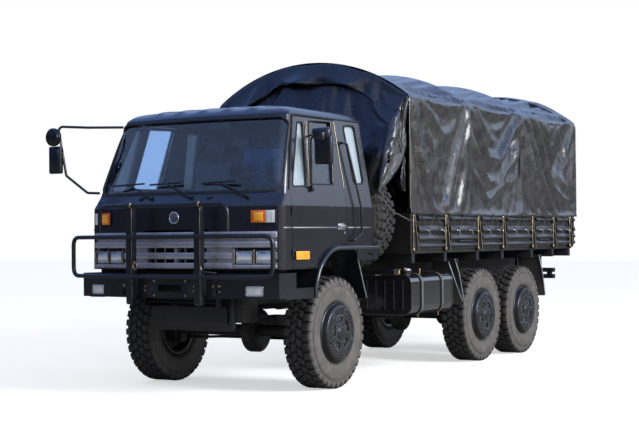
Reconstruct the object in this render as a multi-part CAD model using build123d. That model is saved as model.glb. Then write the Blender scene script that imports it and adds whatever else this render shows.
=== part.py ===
from build123d import *
import math
import os

# A six-wheel-drive military cargo truck with a forward cab and a covered load bed.
# Millimetres. +X is forward, +Y is the truck's left side and +Z is up.
# The origin lies on the ground under the middle of the whole truck.
# Places along the truck are given from the front axle and moved by FRONT_AXLE_X.

# Driving dimensions
FRONT_AXLE_X = 2450
REAR_AXLES = (("middle", -3475), ("rear", -4725))
TRUNNION_X = -4100
WHEEL_RADIUS = 554
WHEEL_CENTRE_Y = 960
AXLE_Z = WHEEL_RADIUS

FRAME_HALF_WIDTH = 430
FRAME_BOTTOM_Z = 840
FRAME_TOP_Z = 1090
FRAME_FRONT_X = 1100
FRAME_REAR_X = -6120

CAB_HALF_WIDTH = 1130
CAB_REAR_X = -705
CAB_BOTTOM_Z = 1200
CAB_WALL = 45
CAB_NOSE_WALL = 120
DOOR_GAP = 6
DOOR_FRONT_X = 860
DOOR_REAR_X = -185

ARCH_CENTRE = (20, 920)
ARCH_RADIUS = 480
ARCH_TOP_Z = ARCH_CENTRE[1] + ARCH_RADIUS
FLARE_THICKNESS = 14
FLARE_HALF_WIDTH = 1160

BED_HALF_WIDTH = 1235
BED_FRONT_X = -1360
BED_REAR_X = -6200
BED_FLOOR_Z = 1350
BED_SIDE_TOP_Z = 1745
CANOPY_REAR_X = -6300
CANOPY_HEM_Z = 1765
CANOPY_SHOULDER_Z = 3000
CANOPY_RIDGE_Z = 3430

KINGPIN_Y = 860

# Cab sections from the bottom up:
# height, half width, front x at the corner, front x in the middle, rear x
CAB_SECTIONS = (
    (CAB_BOTTOM_Z, CAB_HALF_WIDTH, 1040, 1185, CAB_REAR_X),
    (1800, CAB_HALF_WIDTH, 1030, 1180, CAB_REAR_X),
    (1915, 1110, 955, 1085, CAB_REAR_X),
    (2680, 978, 690, 800, CAB_REAR_X),
    (2745, 925, 600, 700, CAB_REAR_X + 15),
    (2771, 825, 505, 590, CAB_REAR_X + 60),
    (2785, 700, 380, 450, CAB_REAR_X + 150),
)
CAB_CORNER_RADII = (70, 70, 70, 70, 80, 100, 120)

# Window outlines as x, z from the front axle
QUARTER_LIGHT = ((802, 1982), (543, 1993), (428, 2618), (530, 2612))
DOOR_WINDOW = ((458, 2011), (311, 2636), (-125, 2650), (10, 2017))
REAR_SIDE_WINDOW = ((-356, 2630), (-594, 2639), (-606, 2044), (-399, 2033))
WINDSCREEN = ((-1080, 1940), (1080, 1940), (985, 2655), (-985, 2655))
BACK_WINDOW = ((-480, 2080), (480, 2080), (450, 2450), (-450, 2450))


def at(x):
    """An x from the front axle, in the truck's own frame."""
    return x + FRONT_AXLE_X


def block(xs, ys, zs):
    """A block between two x, two y and two z, with x from the front axle."""
    size = [abs(pair[1] - pair[0]) for pair in (xs, ys, zs)]
    middle = [(pair[0] + pair[1]) / 2 for pair in (xs, ys, zs)]
    return Pos(at(middle[0]), middle[1], middle[2]) * Box(*size)


def mirrored(shape):
    """The same piece on the other side of the truck."""
    return mirror(shape, about=Plane.XZ)


def pair_of(shape):
    """A left piece and its right twin."""
    return [shape, mirrored(shape)]


def rounded(face, radius):
    """A flat outline with all its corners rounded."""
    return fillet(face.vertices(), radius) if radius else face


def side_outline(points, radius=0):
    """A flat face from x, z points, standing in the plane y = 0."""
    corners = [(at(x), 0, z) for x, z in points]
    return rounded(make_face(Polyline(*corners, close=True)), radius)


def from_side(face, ys):
    """A flat side outline drawn out between two y."""
    return extrude(Pos(0, ys[0], 0) * face, amount=ys[1] - ys[0], dir=(0, 1, 0))


def from_front(points, xs, radius=0):
    """A y, z outline drawn out between two x."""
    corners = [(at(xs[0]), y, z) for y, z in points]
    face = rounded(make_face(Polyline(*corners, close=True)), radius)
    return extrude(face, amount=xs[1] - xs[0], dir=(1, 0, 0))


def from_above(points, zs, radius=0):
    """An x, y outline drawn out between two z."""
    corners = [(at(x), y, zs[0]) for x, y in points]
    face = rounded(make_face(Polyline(*corners, close=True)), radius)
    return extrude(face, amount=zs[1] - zs[0], dir=(0, 0, 1))


def rod(start, end, radius):
    """A round bar between two points, with x from the front axle."""
    foot = Vector(at(start[0]), start[1], start[2])
    reach = Vector(at(end[0]), end[1], end[2]) - foot
    plane = Plane(origin=foot, z_dir=reach)
    return plane * Cylinder(radius, reach.length, align=(Align.CENTER, Align.CENTER, Align.MIN))


def bent_tube(points, bend, radius, close=False):
    """A round tube along straight runs joined by bends."""
    corners = [(at(x), y, z) for x, y, z in points]
    path = FilletPolyline(*corners, radius=bend, close=close)
    plane = Plane(origin=path @ 0, z_dir=path % 0)
    return sweep(plane * Circle(radius), path=path)


def turned(profile, centre):
    """A ring turned about the axle from y, r points, at an x, y, z centre."""
    corners = [(0, y, r) for y, r in profile]
    ring = revolve(make_face(Polyline(*corners, close=True)), axis=Axis.Y)
    return Pos(at(centre[0]), centre[1], centre[2]) * ring


def save(name, shape):
    """Write one piece, or several that stand apart, to its own file."""
    pieces = shape if isinstance(shape, list) else [shape]
    solids = [solid for piece in pieces for solid in piece.solids()]
    node = solids[0] if len(solids) == 1 else Compound(solids)
    export_step(node, f"parts/{name}.step")


# Chassis

RAIL_WEB = 8
RAIL_FLANGE = 80
DRAWBAR_PIN_X = -6250
DRAWBAR_PIN_RADIUS = 18
CROSS_MEMBERS = (1040, -1760, -2700, -3500, -4700, -5500, -6080)
TRUNNION_PIN_Z = 600
DRAWBAR_Z = 965

SPRING_Y = 380
SPRING_HALF_LENGTH = 640
SPRING_EYE_Z = 780
SPRING_PAD_Z = AXLE_Z + 75
# Front leaves and rear leaves from the longest to the shortest, as half lengths
FRONT_LEAVES = (SPRING_HALF_LENGTH, 500, 360, 220)
REAR_LEAVES = (610, 520, 430, 340, 250, 160)
REAR_SPRING_Y = 485
REAR_SPRING_TOP_Z = 765
REAR_SPRING_END_Z = 640
LEAF = 13
LEAF_WIDTH = 90


def frame_rails():
    """Two channel rails with cross members, spring hangers and a rear drawbar hook."""
    inner = FRAME_HALF_WIDTH - RAIL_FLANGE
    rails = []
    for side in (1, -1):
        channel = block((FRAME_REAR_X, FRAME_FRONT_X), (side * inner, side * FRAME_HALF_WIDTH),
                        (FRAME_BOTTOM_Z, FRAME_TOP_Z))
        hollow = block((FRAME_REAR_X - 1, FRAME_FRONT_X + 1),
                       (side * (inner - 1), side * (FRAME_HALF_WIDTH - RAIL_WEB)),
                       (FRAME_BOTTOM_Z + RAIL_WEB, FRAME_TOP_Z - RAIL_WEB))
        rails.append(channel - hollow)
    members = []
    for x in CROSS_MEMBERS:
        reach = FRAME_HALF_WIDTH - RAIL_WEB
        bar = block((x - 30, x + 30), (-reach, reach), (FRAME_BOTTOM_Z + 40, FRAME_TOP_Z - 40))
        open_side = block((x - 22, x + 31), (-reach, reach), (FRAME_BOTTOM_Z + 48, FRAME_TOP_Z - 48))
        members.append(bar - open_side)
    hangers = []
    for x in (SPRING_HALF_LENGTH, -SPRING_HALF_LENGTH):
        hanger = block((x - 35, x + 35), (SPRING_Y - 50, SPRING_Y + 50), (SPRING_EYE_Z + 22, FRAME_BOTTOM_Z))
        hangers += pair_of(hanger)
    trunnion = block((TRUNNION_X - 90, TRUNNION_X + 90), (FRAME_HALF_WIDTH - 80, FRAME_HALF_WIDTH), (520, 841))
    stub = rod((TRUNNION_X, FRAME_HALF_WIDTH - 80, TRUNNION_PIN_Z), (TRUNNION_X, REAR_SPRING_Y + 60, TRUNNION_PIN_Z), 45)
    hook = rod((FRAME_REAR_X - 60, 0, DRAWBAR_Z), (FRAME_REAR_X + 60, 0, DRAWBAR_Z), 28)
    low, high = DRAWBAR_Z - 45, DRAWBAR_Z + 45
    jaw = from_side(side_outline(((-6180, low), (-6290, low), (-6290, low + 25), (-6205, low + 25),
                                  (-6205, high - 25), (-6290, high - 25), (-6290, high), (-6180, high))), (-40, 40))
    jaw -= rod((DRAWBAR_PIN_X, 0, low - 10), (DRAWBAR_PIN_X, 0, high + 10), DRAWBAR_PIN_RADIUS)
    return rails[0] + rails[1:] + members + hangers + pair_of(trunnion + stub) + [hook, jaw]


def leaf(x, y, half_length, middle_z, end_z):
    """One spring leaf: a bowed strip with its middle and ends at given heights."""
    left, right = at(x - half_length), at(x + half_length)
    lower = ThreePointArc((left, y, end_z), (at(x), y, middle_z), (right, y, end_z))
    upper = ThreePointArc((left, y, end_z + LEAF), (at(x), y, middle_z + LEAF), (right, y, end_z + LEAF))
    ends = [Line((left, y, end_z), (left, y, end_z + LEAF)), Line((right, y, end_z), (right, y, end_z + LEAF))]
    return extrude(make_face(Curve() + [lower, upper] + ends), amount=LEAF_WIDTH / 2, dir=(0, 1, 0), both=True)


def leaf_springs():
    """Front springs hung under the rails and rear springs balanced on the trunnion."""
    packs = []
    main_middle = SPRING_PAD_Z + 52
    rise = SPRING_EYE_Z - LEAF - main_middle
    front = []
    for number, half_length in enumerate(FRONT_LEAVES):
        drop = number * LEAF
        bow = rise * (half_length / SPRING_HALF_LENGTH) ** 2
        front.append(leaf(0, SPRING_Y, half_length, main_middle - drop, main_middle - drop + bow))
    for x in (SPRING_HALF_LENGTH, -SPRING_HALF_LENGTH):
        front.append(rod((x, SPRING_Y - 45, SPRING_EYE_Z), (x, SPRING_Y + 45, SPRING_EYE_Z), 22))
    front.append(block((-70, 70), (SPRING_Y - 50, SPRING_Y + 50), (AXLE_Z + 60, main_middle + 35)))
    packs += pair_of(front[0] + front[1:])
    rear = []
    for number, half_length in enumerate(REAR_LEAVES):
        middle = REAR_SPRING_TOP_Z - number * LEAF
        bow = (REAR_SPRING_END_Z - REAR_SPRING_TOP_Z) * (half_length / REAR_LEAVES[0]) ** 2
        rear.append(leaf(TRUNNION_X, REAR_SPRING_Y, half_length, middle, middle + bow))
    rear.append(block((TRUNNION_X - 90, TRUNNION_X + 90), (REAR_SPRING_Y - 50, REAR_SPRING_Y + 50), (645, 800)))
    packs += pair_of(rear[0] + rear[1:])
    return packs


SPINDLE_RADIUS = 38
SPINDLE_END_Y = 1100
PINION_LENGTH = 330
BRAKE_PLATE_RADIUS = 190
KINGPIN_RADIUS = 18
# The steering arm's ball: x from the axle and y from the kingpin
ARM_BALL = (-160, -15)
TRACK_ROD_Z = 455
TRACK_ROD_RADIUS = 15


def banjo(x, y, radius, nose):
    """The round middle of a drive axle with the pinion's nose pointing along nose."""
    drum = turned(((-80, 0), (-80, radius - 60), (-45, radius), (45, radius), (80, radius - 60), (80, 0)),
                  (x, y, AXLE_Z))
    snout = rod((x, y, AXLE_Z + 20), (x + nose * PINION_LENGTH, y, AXLE_Z + 20), 62)
    collar = rod((x + nose * 120, y, AXLE_Z + 20), (x + nose * 235, y, AXLE_Z + 20), 105)
    flange = rod((x + nose * (PINION_LENGTH - 25), y, AXLE_Z + 20), (x + nose * PINION_LENGTH, y, AXLE_Z + 20), 75)
    return drum + [snout, collar, flange]


def front_axle():
    """The steered drive axle: its tube, offset differential and the two forks for the kingpins."""
    beam = rod((0, -790, AXLE_Z), (0, 790, AXLE_Z), 60)
    axle = beam + banjo(0, 150, 220, -1)
    for side in (1, -1):
        axle += block((-50, 50), (side * 765, side * 790), (AXLE_Z - 145, AXLE_Z + 145))
        for low, high in ((AXLE_Z + 112, AXLE_Z + 145), (AXLE_Z - 145, AXLE_Z - 112)):
            arm = block((-34, 34), (side * 770, side * KINGPIN_Y), (low, high))
            eye = rod((0, side * KINGPIN_Y, low), (0, side * KINGPIN_Y, high), 34)
            bore = rod((0, side * KINGPIN_Y, low - 1), (0, side * KINGPIN_Y, high + 1), KINGPIN_RADIUS + 1)
            axle += arm + eye - bore
        axle -= rod((0, side * KINGPIN_Y, AXLE_Z - 146), (0, side * KINGPIN_Y, AXLE_Z + 146), KINGPIN_RADIUS + 1)
    return axle


def knuckle():
    """The left steering knuckle with its kingpin, spindle, brake plate and steering arm."""
    pin = rod((0, KINGPIN_Y, AXLE_Z - 143), (0, KINGPIN_Y, AXLE_Z + 143), KINGPIN_RADIUS)
    boss = rod((0, KINGPIN_Y, AXLE_Z - 106), (0, KINGPIN_Y, AXLE_Z + 106), 42)
    carrier = block((-40, 40), (KINGPIN_Y, KINGPIN_Y + 60), (AXLE_Z - 90, AXLE_Z + 90))
    plate = rod((0, KINGPIN_Y + 50, AXLE_Z), (0, KINGPIN_Y + 62, AXLE_Z), BRAKE_PLATE_RADIUS)
    spindle = rod((0, KINGPIN_Y + 50, AXLE_Z), (0, SPINDLE_END_Y, AXLE_Z), SPINDLE_RADIUS)
    ball_y = KINGPIN_Y + ARM_BALL[1]
    arm = from_above(((-30, KINGPIN_Y - 30), (ARM_BALL[0] - 22, ball_y - 20), (ARM_BALL[0] - 22, ball_y + 20),
                      (-30, KINGPIN_Y + 35)), (TRACK_ROD_Z + 20, TRACK_ROD_Z + 42))
    stud = rod((ARM_BALL[0], ball_y, TRACK_ROD_Z - 16), (ARM_BALL[0], ball_y, TRACK_ROD_Z + 21), 9)
    return boss + [pin, carrier, plate, spindle, arm, stud]


def track_rod():
    """The rod that ties the two steering arms, cranked round the differential."""
    ball_y = KINGPIN_Y + ARM_BALL[1]
    x = ARM_BALL[0]
    run = ((x, ball_y - 15, TRACK_ROD_Z), (x, 640, TRACK_ROD_Z), (x - 135, 470, TRACK_ROD_Z),
           (x - 135, -470, TRACK_ROD_Z), (x, -640, TRACK_ROD_Z), (x, -ball_y + 15, TRACK_ROD_Z))
    bar = bent_tube(run, 80, TRACK_ROD_RADIUS)
    for side, bore in ((1, 12), (-1, 16)):
        bar += rod((x, side * ball_y, TRACK_ROD_Z - 14), (x, side * ball_y, TRACK_ROD_Z + 14), bore + 12)
        bar -= rod((x, side * ball_y, TRACK_ROD_Z - 15), (x, side * ball_y, TRACK_ROD_Z + 15), bore)
    return bar


def rear_axle(x):
    """A rear drive axle with its spindles, brake plates and spring pads."""
    axle = rod((x, -905, AXLE_Z), (x, 905, AXLE_Z), 65) + banjo(x, 0, 215, 1)
    for side in (1, -1):
        axle += rod((x, side * 880, AXLE_Z), (x, side * SPINDLE_END_Y, AXLE_Z), SPINDLE_RADIUS)
        axle += rod((x, side * 905, AXLE_Z), (x, side * 920, AXLE_Z), BRAKE_PLATE_RADIUS)
    axle += rod((x - 240, 0, AXLE_Z + 20), (x - 100, 0, AXLE_Z + 20), 70)
    for side in (1, -1):
        axle += block((x - 60, x + 60), (side * (REAR_SPRING_Y - 50), side * (REAR_SPRING_Y + 50)),
                      (AXLE_Z, 639))
    return axle


# Wheels

# The tyre's half section from its bead out to the tread: y outwards from the tyre's middle, then radius
TYRE_WALL = ((117, 254), (117, 284), (134, 300), (150, 350), (160, 410), (157, 465), (148, 515), (136, WHEEL_RADIUS))
# The rim's, hub's and brake drum's sections: y outwards from the tyre's middle, then radius
RIM_PROFILE = ((-117, 254), (-117, 282), (-130, 282), (-130, 238), (124, 238), (124, 262), (182, 256),
               (182, 60), (194, 60), (194, 262), (188, 275), (130, 282), (117, 282), (117, 254))
HUB_PROFILE = ((-30, SPINDLE_RADIUS + 1), (150, SPINDLE_RADIUS + 1), (150, 0), (205, 0), (205, 42), (194, 50),
               (194, 60), (182, 60), (182, 90), (20, 90), (20, 195), (70, 200), (70, 215), (-38, 215),
               (-38, 195), (-30, 195))
WHEEL_SLOTS = 5


def tyre():
    """A tyre about the Y axis, out to the tips of its lugs."""
    return ring([(-y, radius) for y, radius in TYRE_WALL] + list(reversed(TYRE_WALL)))


def ring(profile):
    """A solid turned about the Y axis from y, r points."""
    return revolve(make_face(Polyline(*[(0, y, r) for y, r in profile], close=True)), axis=Axis.Y)


def rim(with_hub=True):
    """A deep rim with a slotted disc about the Y axis, and the hub and brake drum for a spindle."""
    wheel = ring(RIM_PROFILE)
    for number in range(WHEEL_SLOTS):
        slot = Pos(0, 190, 150) * Rot(90, 0, 0) * SlotOverall(110, 46)
        wheel -= Rot(0, number * 360 / WHEEL_SLOTS, 0) * extrude(slot, amount=30, both=True)
    return wheel + ring(HUB_PROFILE) if with_hub else wheel


# Driveline

ENGINE = ((-430, 720), (-290, 290), (800, 1480))


def engine():
    """The engine as one plain block of its real size, on two mounts between the rails."""
    reach = FRAME_HALF_WIDTH - RAIL_WEB
    return block(*ENGINE) + block((200, 270), (-reach, reach), (940, 1000))


def driveline():
    """Gearbox, transfer case and the shafts to the three axles."""
    gearbox = block((-980, ENGINE[0][0]), (-200, 200), (830, 1180)) + rod((-1300, 0, 900), (-980, 0, 900), 42)
    case = block((-1660, -1300), (-190, 230), (640, 980))
    case += block((-1520, -1440), (-FRAME_HALF_WIDTH + RAIL_WEB, FRAME_HALF_WIDTH - RAIL_WEB), (900, 960))
    pinion_z = AXLE_Z + 20
    shafts = [rod((-1310, 150, 720), (-PINION_LENGTH - 12, 150, pinion_z), 36),
              rod((-PINION_LENGTH - 22, 150, pinion_z), (-PINION_LENGTH, 150, pinion_z), 62)]
    nose = REAR_AXLES[0][1] + PINION_LENGTH
    shafts += [rod((-1650, 0, 720), (nose + 12, 0, pinion_z), 45), rod((nose + 22, 0, pinion_z), (nose, 0, pinion_z), 70)]
    through = rod((REAR_AXLES[0][1] - 240, 0, pinion_z), (REAR_AXLES[1][1] + PINION_LENGTH, 0, pinion_z), 36)
    return [gearbox + [case] + shafts, through]


def radiator():
    """Radiator core with its side tanks, ahead of the engine."""
    core = block((790, 850), (-330, 330), (950, 1500))
    header = block((770, 870), (-340, 340), (1500, 1560))
    foot = block((770, 870), (-340, 340), (890, 950))
    brackets = pair_of(block((780, 860), (320, FRAME_HALF_WIDTH - RAIL_FLANGE), (FRAME_TOP_Z - RAIL_WEB, FRAME_TOP_Z)))
    guard = from_side(side_outline(((960, FRAME_BOTTOM_Z), (985, FRAME_BOTTOM_Z), (985, 690), (880, 600), (862, 612),
                                    (962, 700))), (-430, 470))
    return [core + [header, foot] + brackets, guard]


# Side gear under the bed

def tank_outline(x_low, x_high, y_low, y_high, z_low, z_high, corner):
    """A rounded tank across the truck, with its section in the y, z plane."""
    middle = ((y_low + y_high) / 2, (z_low + z_high) / 2)
    face = Plane(origin=(at(x_low), middle[0], middle[1]), x_dir=(0, 1, 0), z_dir=(1, 0, 0)) * \
        RectangleRounded(y_high - y_low, z_high - z_low, corner)
    return extrude(face, amount=x_high - x_low)


def fuel_tank():
    """The fuel tank on the left rail with its brackets and straps."""
    tank = tank_outline(-2550, -1520, 500, 1150, 650, 1080, 95)
    for x in (-1774, -2274):
        strap = tank_outline(x - 25, x + 25, 492, 1158, 642, 1088, 102)
        bracket = block((x - 25, x + 25), (FRAME_HALF_WIDTH, 520), (700, 1050))
        tank += [strap, bracket]
    tank += rod((-1700, 1000, 1075), (-1700, 1000, 1120), 55)
    return tank


def battery_box():
    """Battery box and two air reservoirs on the right rail."""
    box = block((-1750, -1150), (-1120, -470), (700, 1060)) + block((-1750, -1150), (-471, -430), (820, 1000))
    box += block((-1760, -1140), (-1130, -465), (1060, 1080))
    tanks = []
    for z in (760, 985):
        tank = rod((-2700, -760, z), (-1850, -760, z), 105)
        tanks.append(tank)
    hanger = block((-2320, -2240), (-700, -430), (680, 1060))
    return [box, tanks[0] + [tanks[1], hanger]]


def exhaust():
    """Silencer and pipes under the right rail."""
    silencer = rod((-1120, -560, 900), (-690, -560, 900), 85)
    pipe = bent_tube(((-350, -290, 1130), (-350, -560, 1130), (-620, -560, 1130), (-620, -560, 900), (-700, -560, 900)),
                     60, 30)
    hanger = block((-940, -880), (-560, -430), (930, 1000))
    return silencer + [pipe, hanger]


def rear_mudguards():
    """Rubber flaps on steel stays before and behind the rear wheels."""
    pieces = []
    for top_x, low_x in ((-2740, -2910), (-5290, -5400)):
        flap = from_side(side_outline(((top_x, 1240), (top_x + 12, 1240), (low_x + 12, 700), (low_x, 700))), (800, 1125))
        stay = block((top_x - 20, top_x + 12), (430, 1125), (1195, 1235))
        pieces += pair_of(flap + stay)
    return pieces


SPARE_X = -1040
# y, z of the spare wheel's middle
SPARE_CENTRE = (600, 1700)
CARRIER_POST = (-1290, -1240)


def spare_carrier():
    """Upright carrier for the spare wheel behind the cab, standing on the rails."""
    post = block((-1300, -1230), (-430, 1100), (FRAME_TOP_Z, FRAME_TOP_Z + 60))
    top_z = SPARE_CENTRE[1] + 200
    mast = block(CARRIER_POST, (540, 660), (FRAME_TOP_Z, top_z))
    plate = rod((CARRIER_POST[0], *SPARE_CENTRE), (SPARE_X - 194, *SPARE_CENTRE), 90)
    right_post = block(CARRIER_POST, (-420, -360), (FRAME_TOP_Z, top_z))
    tie = block(CARRIER_POST, (-420, 660), (top_z - 60, top_z))
    return post + [mast, plate, right_post, tie]


def stand_upright(wheel):
    """A wheel laid about the Y axis, turned to face forward in the carrier."""
    return Pos(at(SPARE_X), *SPARE_CENTRE) * Rot(0, 0, 90) * wheel


# Front end

BUMPER_Z = (933, 1166)


def bumper():
    """The bowed front bumper with its end returns, lamp holes, tow hooks and side steps."""
    outer = [(1030, 1160), (1140, 1160), (1210, 900), (1262, 400), (1262, -400), (1210, -900), (1140, -1160),
             (1030, -1160)]
    inner = [(1030, -1130), (1100, -1130), (1165, -880), (1210, -390), (1210, 390), (1165, 880), (1100, 1130),
             (1030, 1130)]
    beam = from_above(outer + inner, BUMPER_Z)
    for side in (1, -1):
        beam -= block((1100, 1300), (side * 840, side * 1010), (960, 1050))
        beam -= rod((1150, side * 264, 1030), (1300, side * 264, 1030), 28)
        beam += block((525, 1031), (side * 1000, side * 1160), (920, 1020))
        beam += block((794, 1031), (side * 1110, side * 1130), (1019, 1166))
        beam += block((FRAME_FRONT_X, 1215), (side * 350, side * 430), (950, 1075))
        beam += block((860, 1031), (side * 430, side * 1131), (940, 1000))
        hook = from_side(side_outline(((1180, 960), (1310, 960), (1310, 1020), (1285, 1020), (1285, 985),
                                       (1180, 985))), (side * 520, side * 550))
        beam += hook
    beam -= block((1150, 1300), (-140, 140), (994, 1062))
    return beam


UPRIGHT_Y = 401
GUARD_TUBE = 21


def brush_guard():
    """Two uprights with a closed ring of tube and a hoop above it."""
    uprights = []
    for side in (1, -1):
        ys = (side * UPRIGHT_Y - 35, side * UPRIGHT_Y + 35)
        upright = from_side(side_outline(((1298, 870), (1375, 870), (1375, 1850), (1298, 1850)), 25), ys)
        foot = block((1262, 1299), ys, (960, 1140))
        uprights += [upright, foot]
    middle_x, end_x = 1378, 1272
    ring = ((middle_x, 780, 1518), (end_x, 1174, 1518), (end_x, 1174, 1140),
            (middle_x, 780, 1140), (middle_x, -780, 1140), (end_x, -1174, 1140), (end_x, -1174, 1518),
            (middle_x, -780, 1518))
    hoop = ((middle_x, 780, 1518), (middle_x, 780, 1817), (middle_x, -780, 1817), (middle_x, -780, 1518))
    return uprights[0] + uprights[1:] + [bent_tube(ring, 95, GUARD_TUBE, True), bent_tube(hoop, 90, GUARD_TUBE)]


# Cab

def cab_outline(z, half_width, corner_x, middle_x, rear_x, radius):
    """A plan outline of the cab at one height, with a bowed front."""
    rear_left, rear_right = (at(rear_x), half_width, z), (at(rear_x), -half_width, z)
    front_left, front_right = (at(corner_x), half_width, z), (at(corner_x), -half_width, z)
    sides = Polyline(front_left, rear_left, rear_right, front_right)
    front = ThreePointArc(front_right, (at(middle_x), 0, z), front_left)
    face = make_face(Curve() + [sides, front])
    corners = [corner for corner in face.vertices() if corner.X > at(rear_x) + 10]
    return fillet(corners, radius)


def cab_body(side=0, front=0, rear=0, lift=0, nose=None):
    """The cab's outer form, or one set in from it by given amounts."""
    sections = []
    for number, (z, half_width, corner_x, middle_x, rear_x) in enumerate(CAB_SECTIONS):
        inset = nose if nose is not None and number < 2 else front
        height = z + lift if number == 0 else z
        if side and number > 3:
            height = z - CAB_WALL + 5
        sections.append(cab_outline(height, half_width - side, corner_x - inset, middle_x - inset, rear_x + rear,
                                    max(CAB_CORNER_RADII[number] - side, 20)))
    return loft(sections, ruled=True)


def arch_space(radius, z_top, x_rear=-900):
    """The space over a front wheel that the cab and its flare leave open, as a side outline."""
    x, z = ARCH_CENTRE
    low = 700
    turn = ThreePointArc((at(x), 0, z_top), (at(x) + radius * math.sin(math.pi / 4), 0,
                                             z + radius * math.cos(math.pi / 4)), (at(x) + radius, 0, z))
    rest = Polyline((at(x) + radius, 0, z), (at(x) + radius, 0, low), (at(x_rear), 0, low),
                    (at(x_rear), 0, z_top), (at(x), 0, z_top))
    return make_face(Curve() + [turn, rest])


def door_outline(gap):
    """The door's side outline, smaller all round by gap."""
    x, z = ARCH_CENTRE
    radius = ARCH_RADIUS + 25
    low_z = CAB_BOTTOM_Z + 5
    foot_x = x + math.sqrt(radius ** 2 - (low_z - z) ** 2)
    middle = math.radians(62)
    curve = ThreePointArc((at(x), 0, z + radius),
                          (at(x) + radius * math.cos(middle), 0, z + radius * math.sin(middle)),
                          (at(foot_x), 0, low_z))
    rest = Polyline((at(foot_x), 0, low_z), (at(DOOR_FRONT_X), 0, low_z), (at(DOOR_FRONT_X), 0, 1950),
                    (at(588), 0, 2672), (at(DOOR_REAR_X), 0, 2672), (at(DOOR_REAR_X), 0, z + radius),
                    (at(x), 0, z + radius))
    face = make_face(Curve() + [curve, rest])
    return offset(face, amount=-gap, kind=Kind.INTERSECTION) if gap else face


DOOR_THICKNESS = 45
DOOR_HINGE = (862, 1136)
DOOR_HINGE_HEIGHTS = (1340, 1740)
KNUCKLE_RADIUS = 11
PIN_RADIUS = 5
TUNNEL_HALF_WIDTH = 380
TUNNEL_TOP_Z = 1660
FLOOR = 45
GLASS = 6
TURN_SIGNAL_Y = (830, 1075)
TURN_SIGNAL_Z = (1633, 1764)
SIDE_LAMP_X = (590, 827)
SIDE_LAMP_Z = (1292, 1367)
LAMP_SEAT = 20
SKIN_REACH = 1300


def hang_door(shell, skin, side):
    """Interlock the knuckles of the door and the shell round the hinge line of one side."""
    for z in DOOR_HINGE_HEIGHTS:
        def stack(low, high, radius):
            return rod((DOOR_HINGE[0], side * DOOR_HINGE[1], z + low), (DOOR_HINGE[0], side * DOOR_HINGE[1], z + high),
                       radius)
        skin -= stack(-32, 0, KNUCKLE_RADIUS + 2)
        shell -= stack(-2, 48, KNUCKLE_RADIUS + 2)
        skin += stack(0, 46, KNUCKLE_RADIUS)
        skin -= stack(-1, 47, PIN_RADIUS + 1)
        shell += stack(-30, -2, KNUCKLE_RADIUS)
        shell += stack(-30, 44, PIN_RADIUS)
    return shell, skin


def build_cab():
    """The hollow cab, its two doors and all the glass, cut from one outer form."""
    outer = cab_body()
    side_core = cab_body(side=DOOR_THICKNESS, front=-300, rear=-300)
    side_skin = outer - side_core
    front_skin = outer - Pos(-60, 0, 0) * outer
    nose_skin = outer - Pos(-90, 0, 0) * outer

    room = cab_body(side=CAB_WALL, front=50, rear=CAB_WALL, lift=FLOOR, nose=CAB_NOSE_WALL)
    room -= block((-900, ARCH_CENTRE[0] + ARCH_RADIUS), (-1200, 1200), (1100, ARCH_TOP_Z + FLOOR))
    tunnel_wall = TUNNEL_HALF_WIDTH + 30
    room -= block((-900, 1200), (-tunnel_wall, tunnel_wall), (1100, TUNNEL_TOP_Z + 30))
    shell = outer - room
    shell -= from_side(arch_space(ARCH_RADIUS, ARCH_TOP_Z), (-SKIN_REACH, SKIN_REACH))
    shell -= block((-640, 1300), (-TUNNEL_HALF_WIDTH, TUNNEL_HALF_WIDTH), (1100, 1580))
    shell -= block((-640, 900), (-TUNNEL_HALF_WIDTH, TUNNEL_HALF_WIDTH), (1570, TUNNEL_TOP_Z))

    opening = from_side(door_outline(0), (-SKIN_REACH, SKIN_REACH)) & side_skin
    shell -= opening
    door_skin = from_side(door_outline(DOOR_GAP), (-SKIN_REACH, SKIN_REACH)) & side_skin

    glass_skin = cab_body(side=20, front=-300, rear=-300) - cab_body(side=20 + GLASS, front=-300, rear=-300)
    cab_glass, door_glass = [], []
    for points, panes, radius in ((QUARTER_LIGHT, door_glass, 22), (DOOR_WINDOW, door_glass, 22),
                                  (REAR_SIDE_WINDOW, cab_glass, 50)):
        window = from_side(side_outline(points, radius), (-SKIN_REACH, SKIN_REACH))
        panes += (glass_skin & window).solids()
        if panes is door_glass:
            door_skin -= window
        else:
            shell -= window & side_skin
    screen = from_front(WINDSCREEN, (400, 1400), 90)
    screen_layer = Pos(-15, 0, 0) * outer - Pos(-15 - GLASS, 0, 0) * outer
    cab_glass += (screen & screen_layer).solids()
    shell -= screen & front_skin
    back = from_front(BACK_WINDOW, (CAB_REAR_X - 10, CAB_REAR_X + CAB_WALL + 10), 60)
    shell -= back
    cab_glass.append(back & block((CAB_REAR_X + 20, CAB_REAR_X + 20 + GLASS), (-600, 600), (2000, 2600)))

    grille_recess = from_front(((-1085, 1212), (1085, 1212), (1085, 1562), (-1085, 1562)), (800, 1400))
    shell -= grille_recess & nose_skin
    pocket_skin = outer - Pos(-LAMP_SEAT, 0, 0) * outer
    for side in (1, -1):
        shell -= from_front(lamp_corners(side * TURN_SIGNAL_Y[0], side * TURN_SIGNAL_Y[1], TURN_SIGNAL_Z),
                            (800, 1400)) & pocket_skin
        door_skin += block(SIDE_LAMP_X, (side * CAB_HALF_WIDTH, side * (CAB_HALF_WIDTH + 20)), SIDE_LAMP_Z)
        shell, door_skin = hang_door(shell, door_skin, side)
    doors = [max((solid for solid in door_skin.solids() if side * solid.center().Y > 0), key=lambda s: s.volume)
             for side in (1, -1)]
    return shell, doors, cab_glass, door_glass, outer


def lamp_corners(low_y, high_y, zs):
    """The y, z corners of an upright rectangle."""
    return ((low_y, zs[0]), (high_y, zs[0]), (high_y, zs[1]), (low_y, zs[1]))


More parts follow.
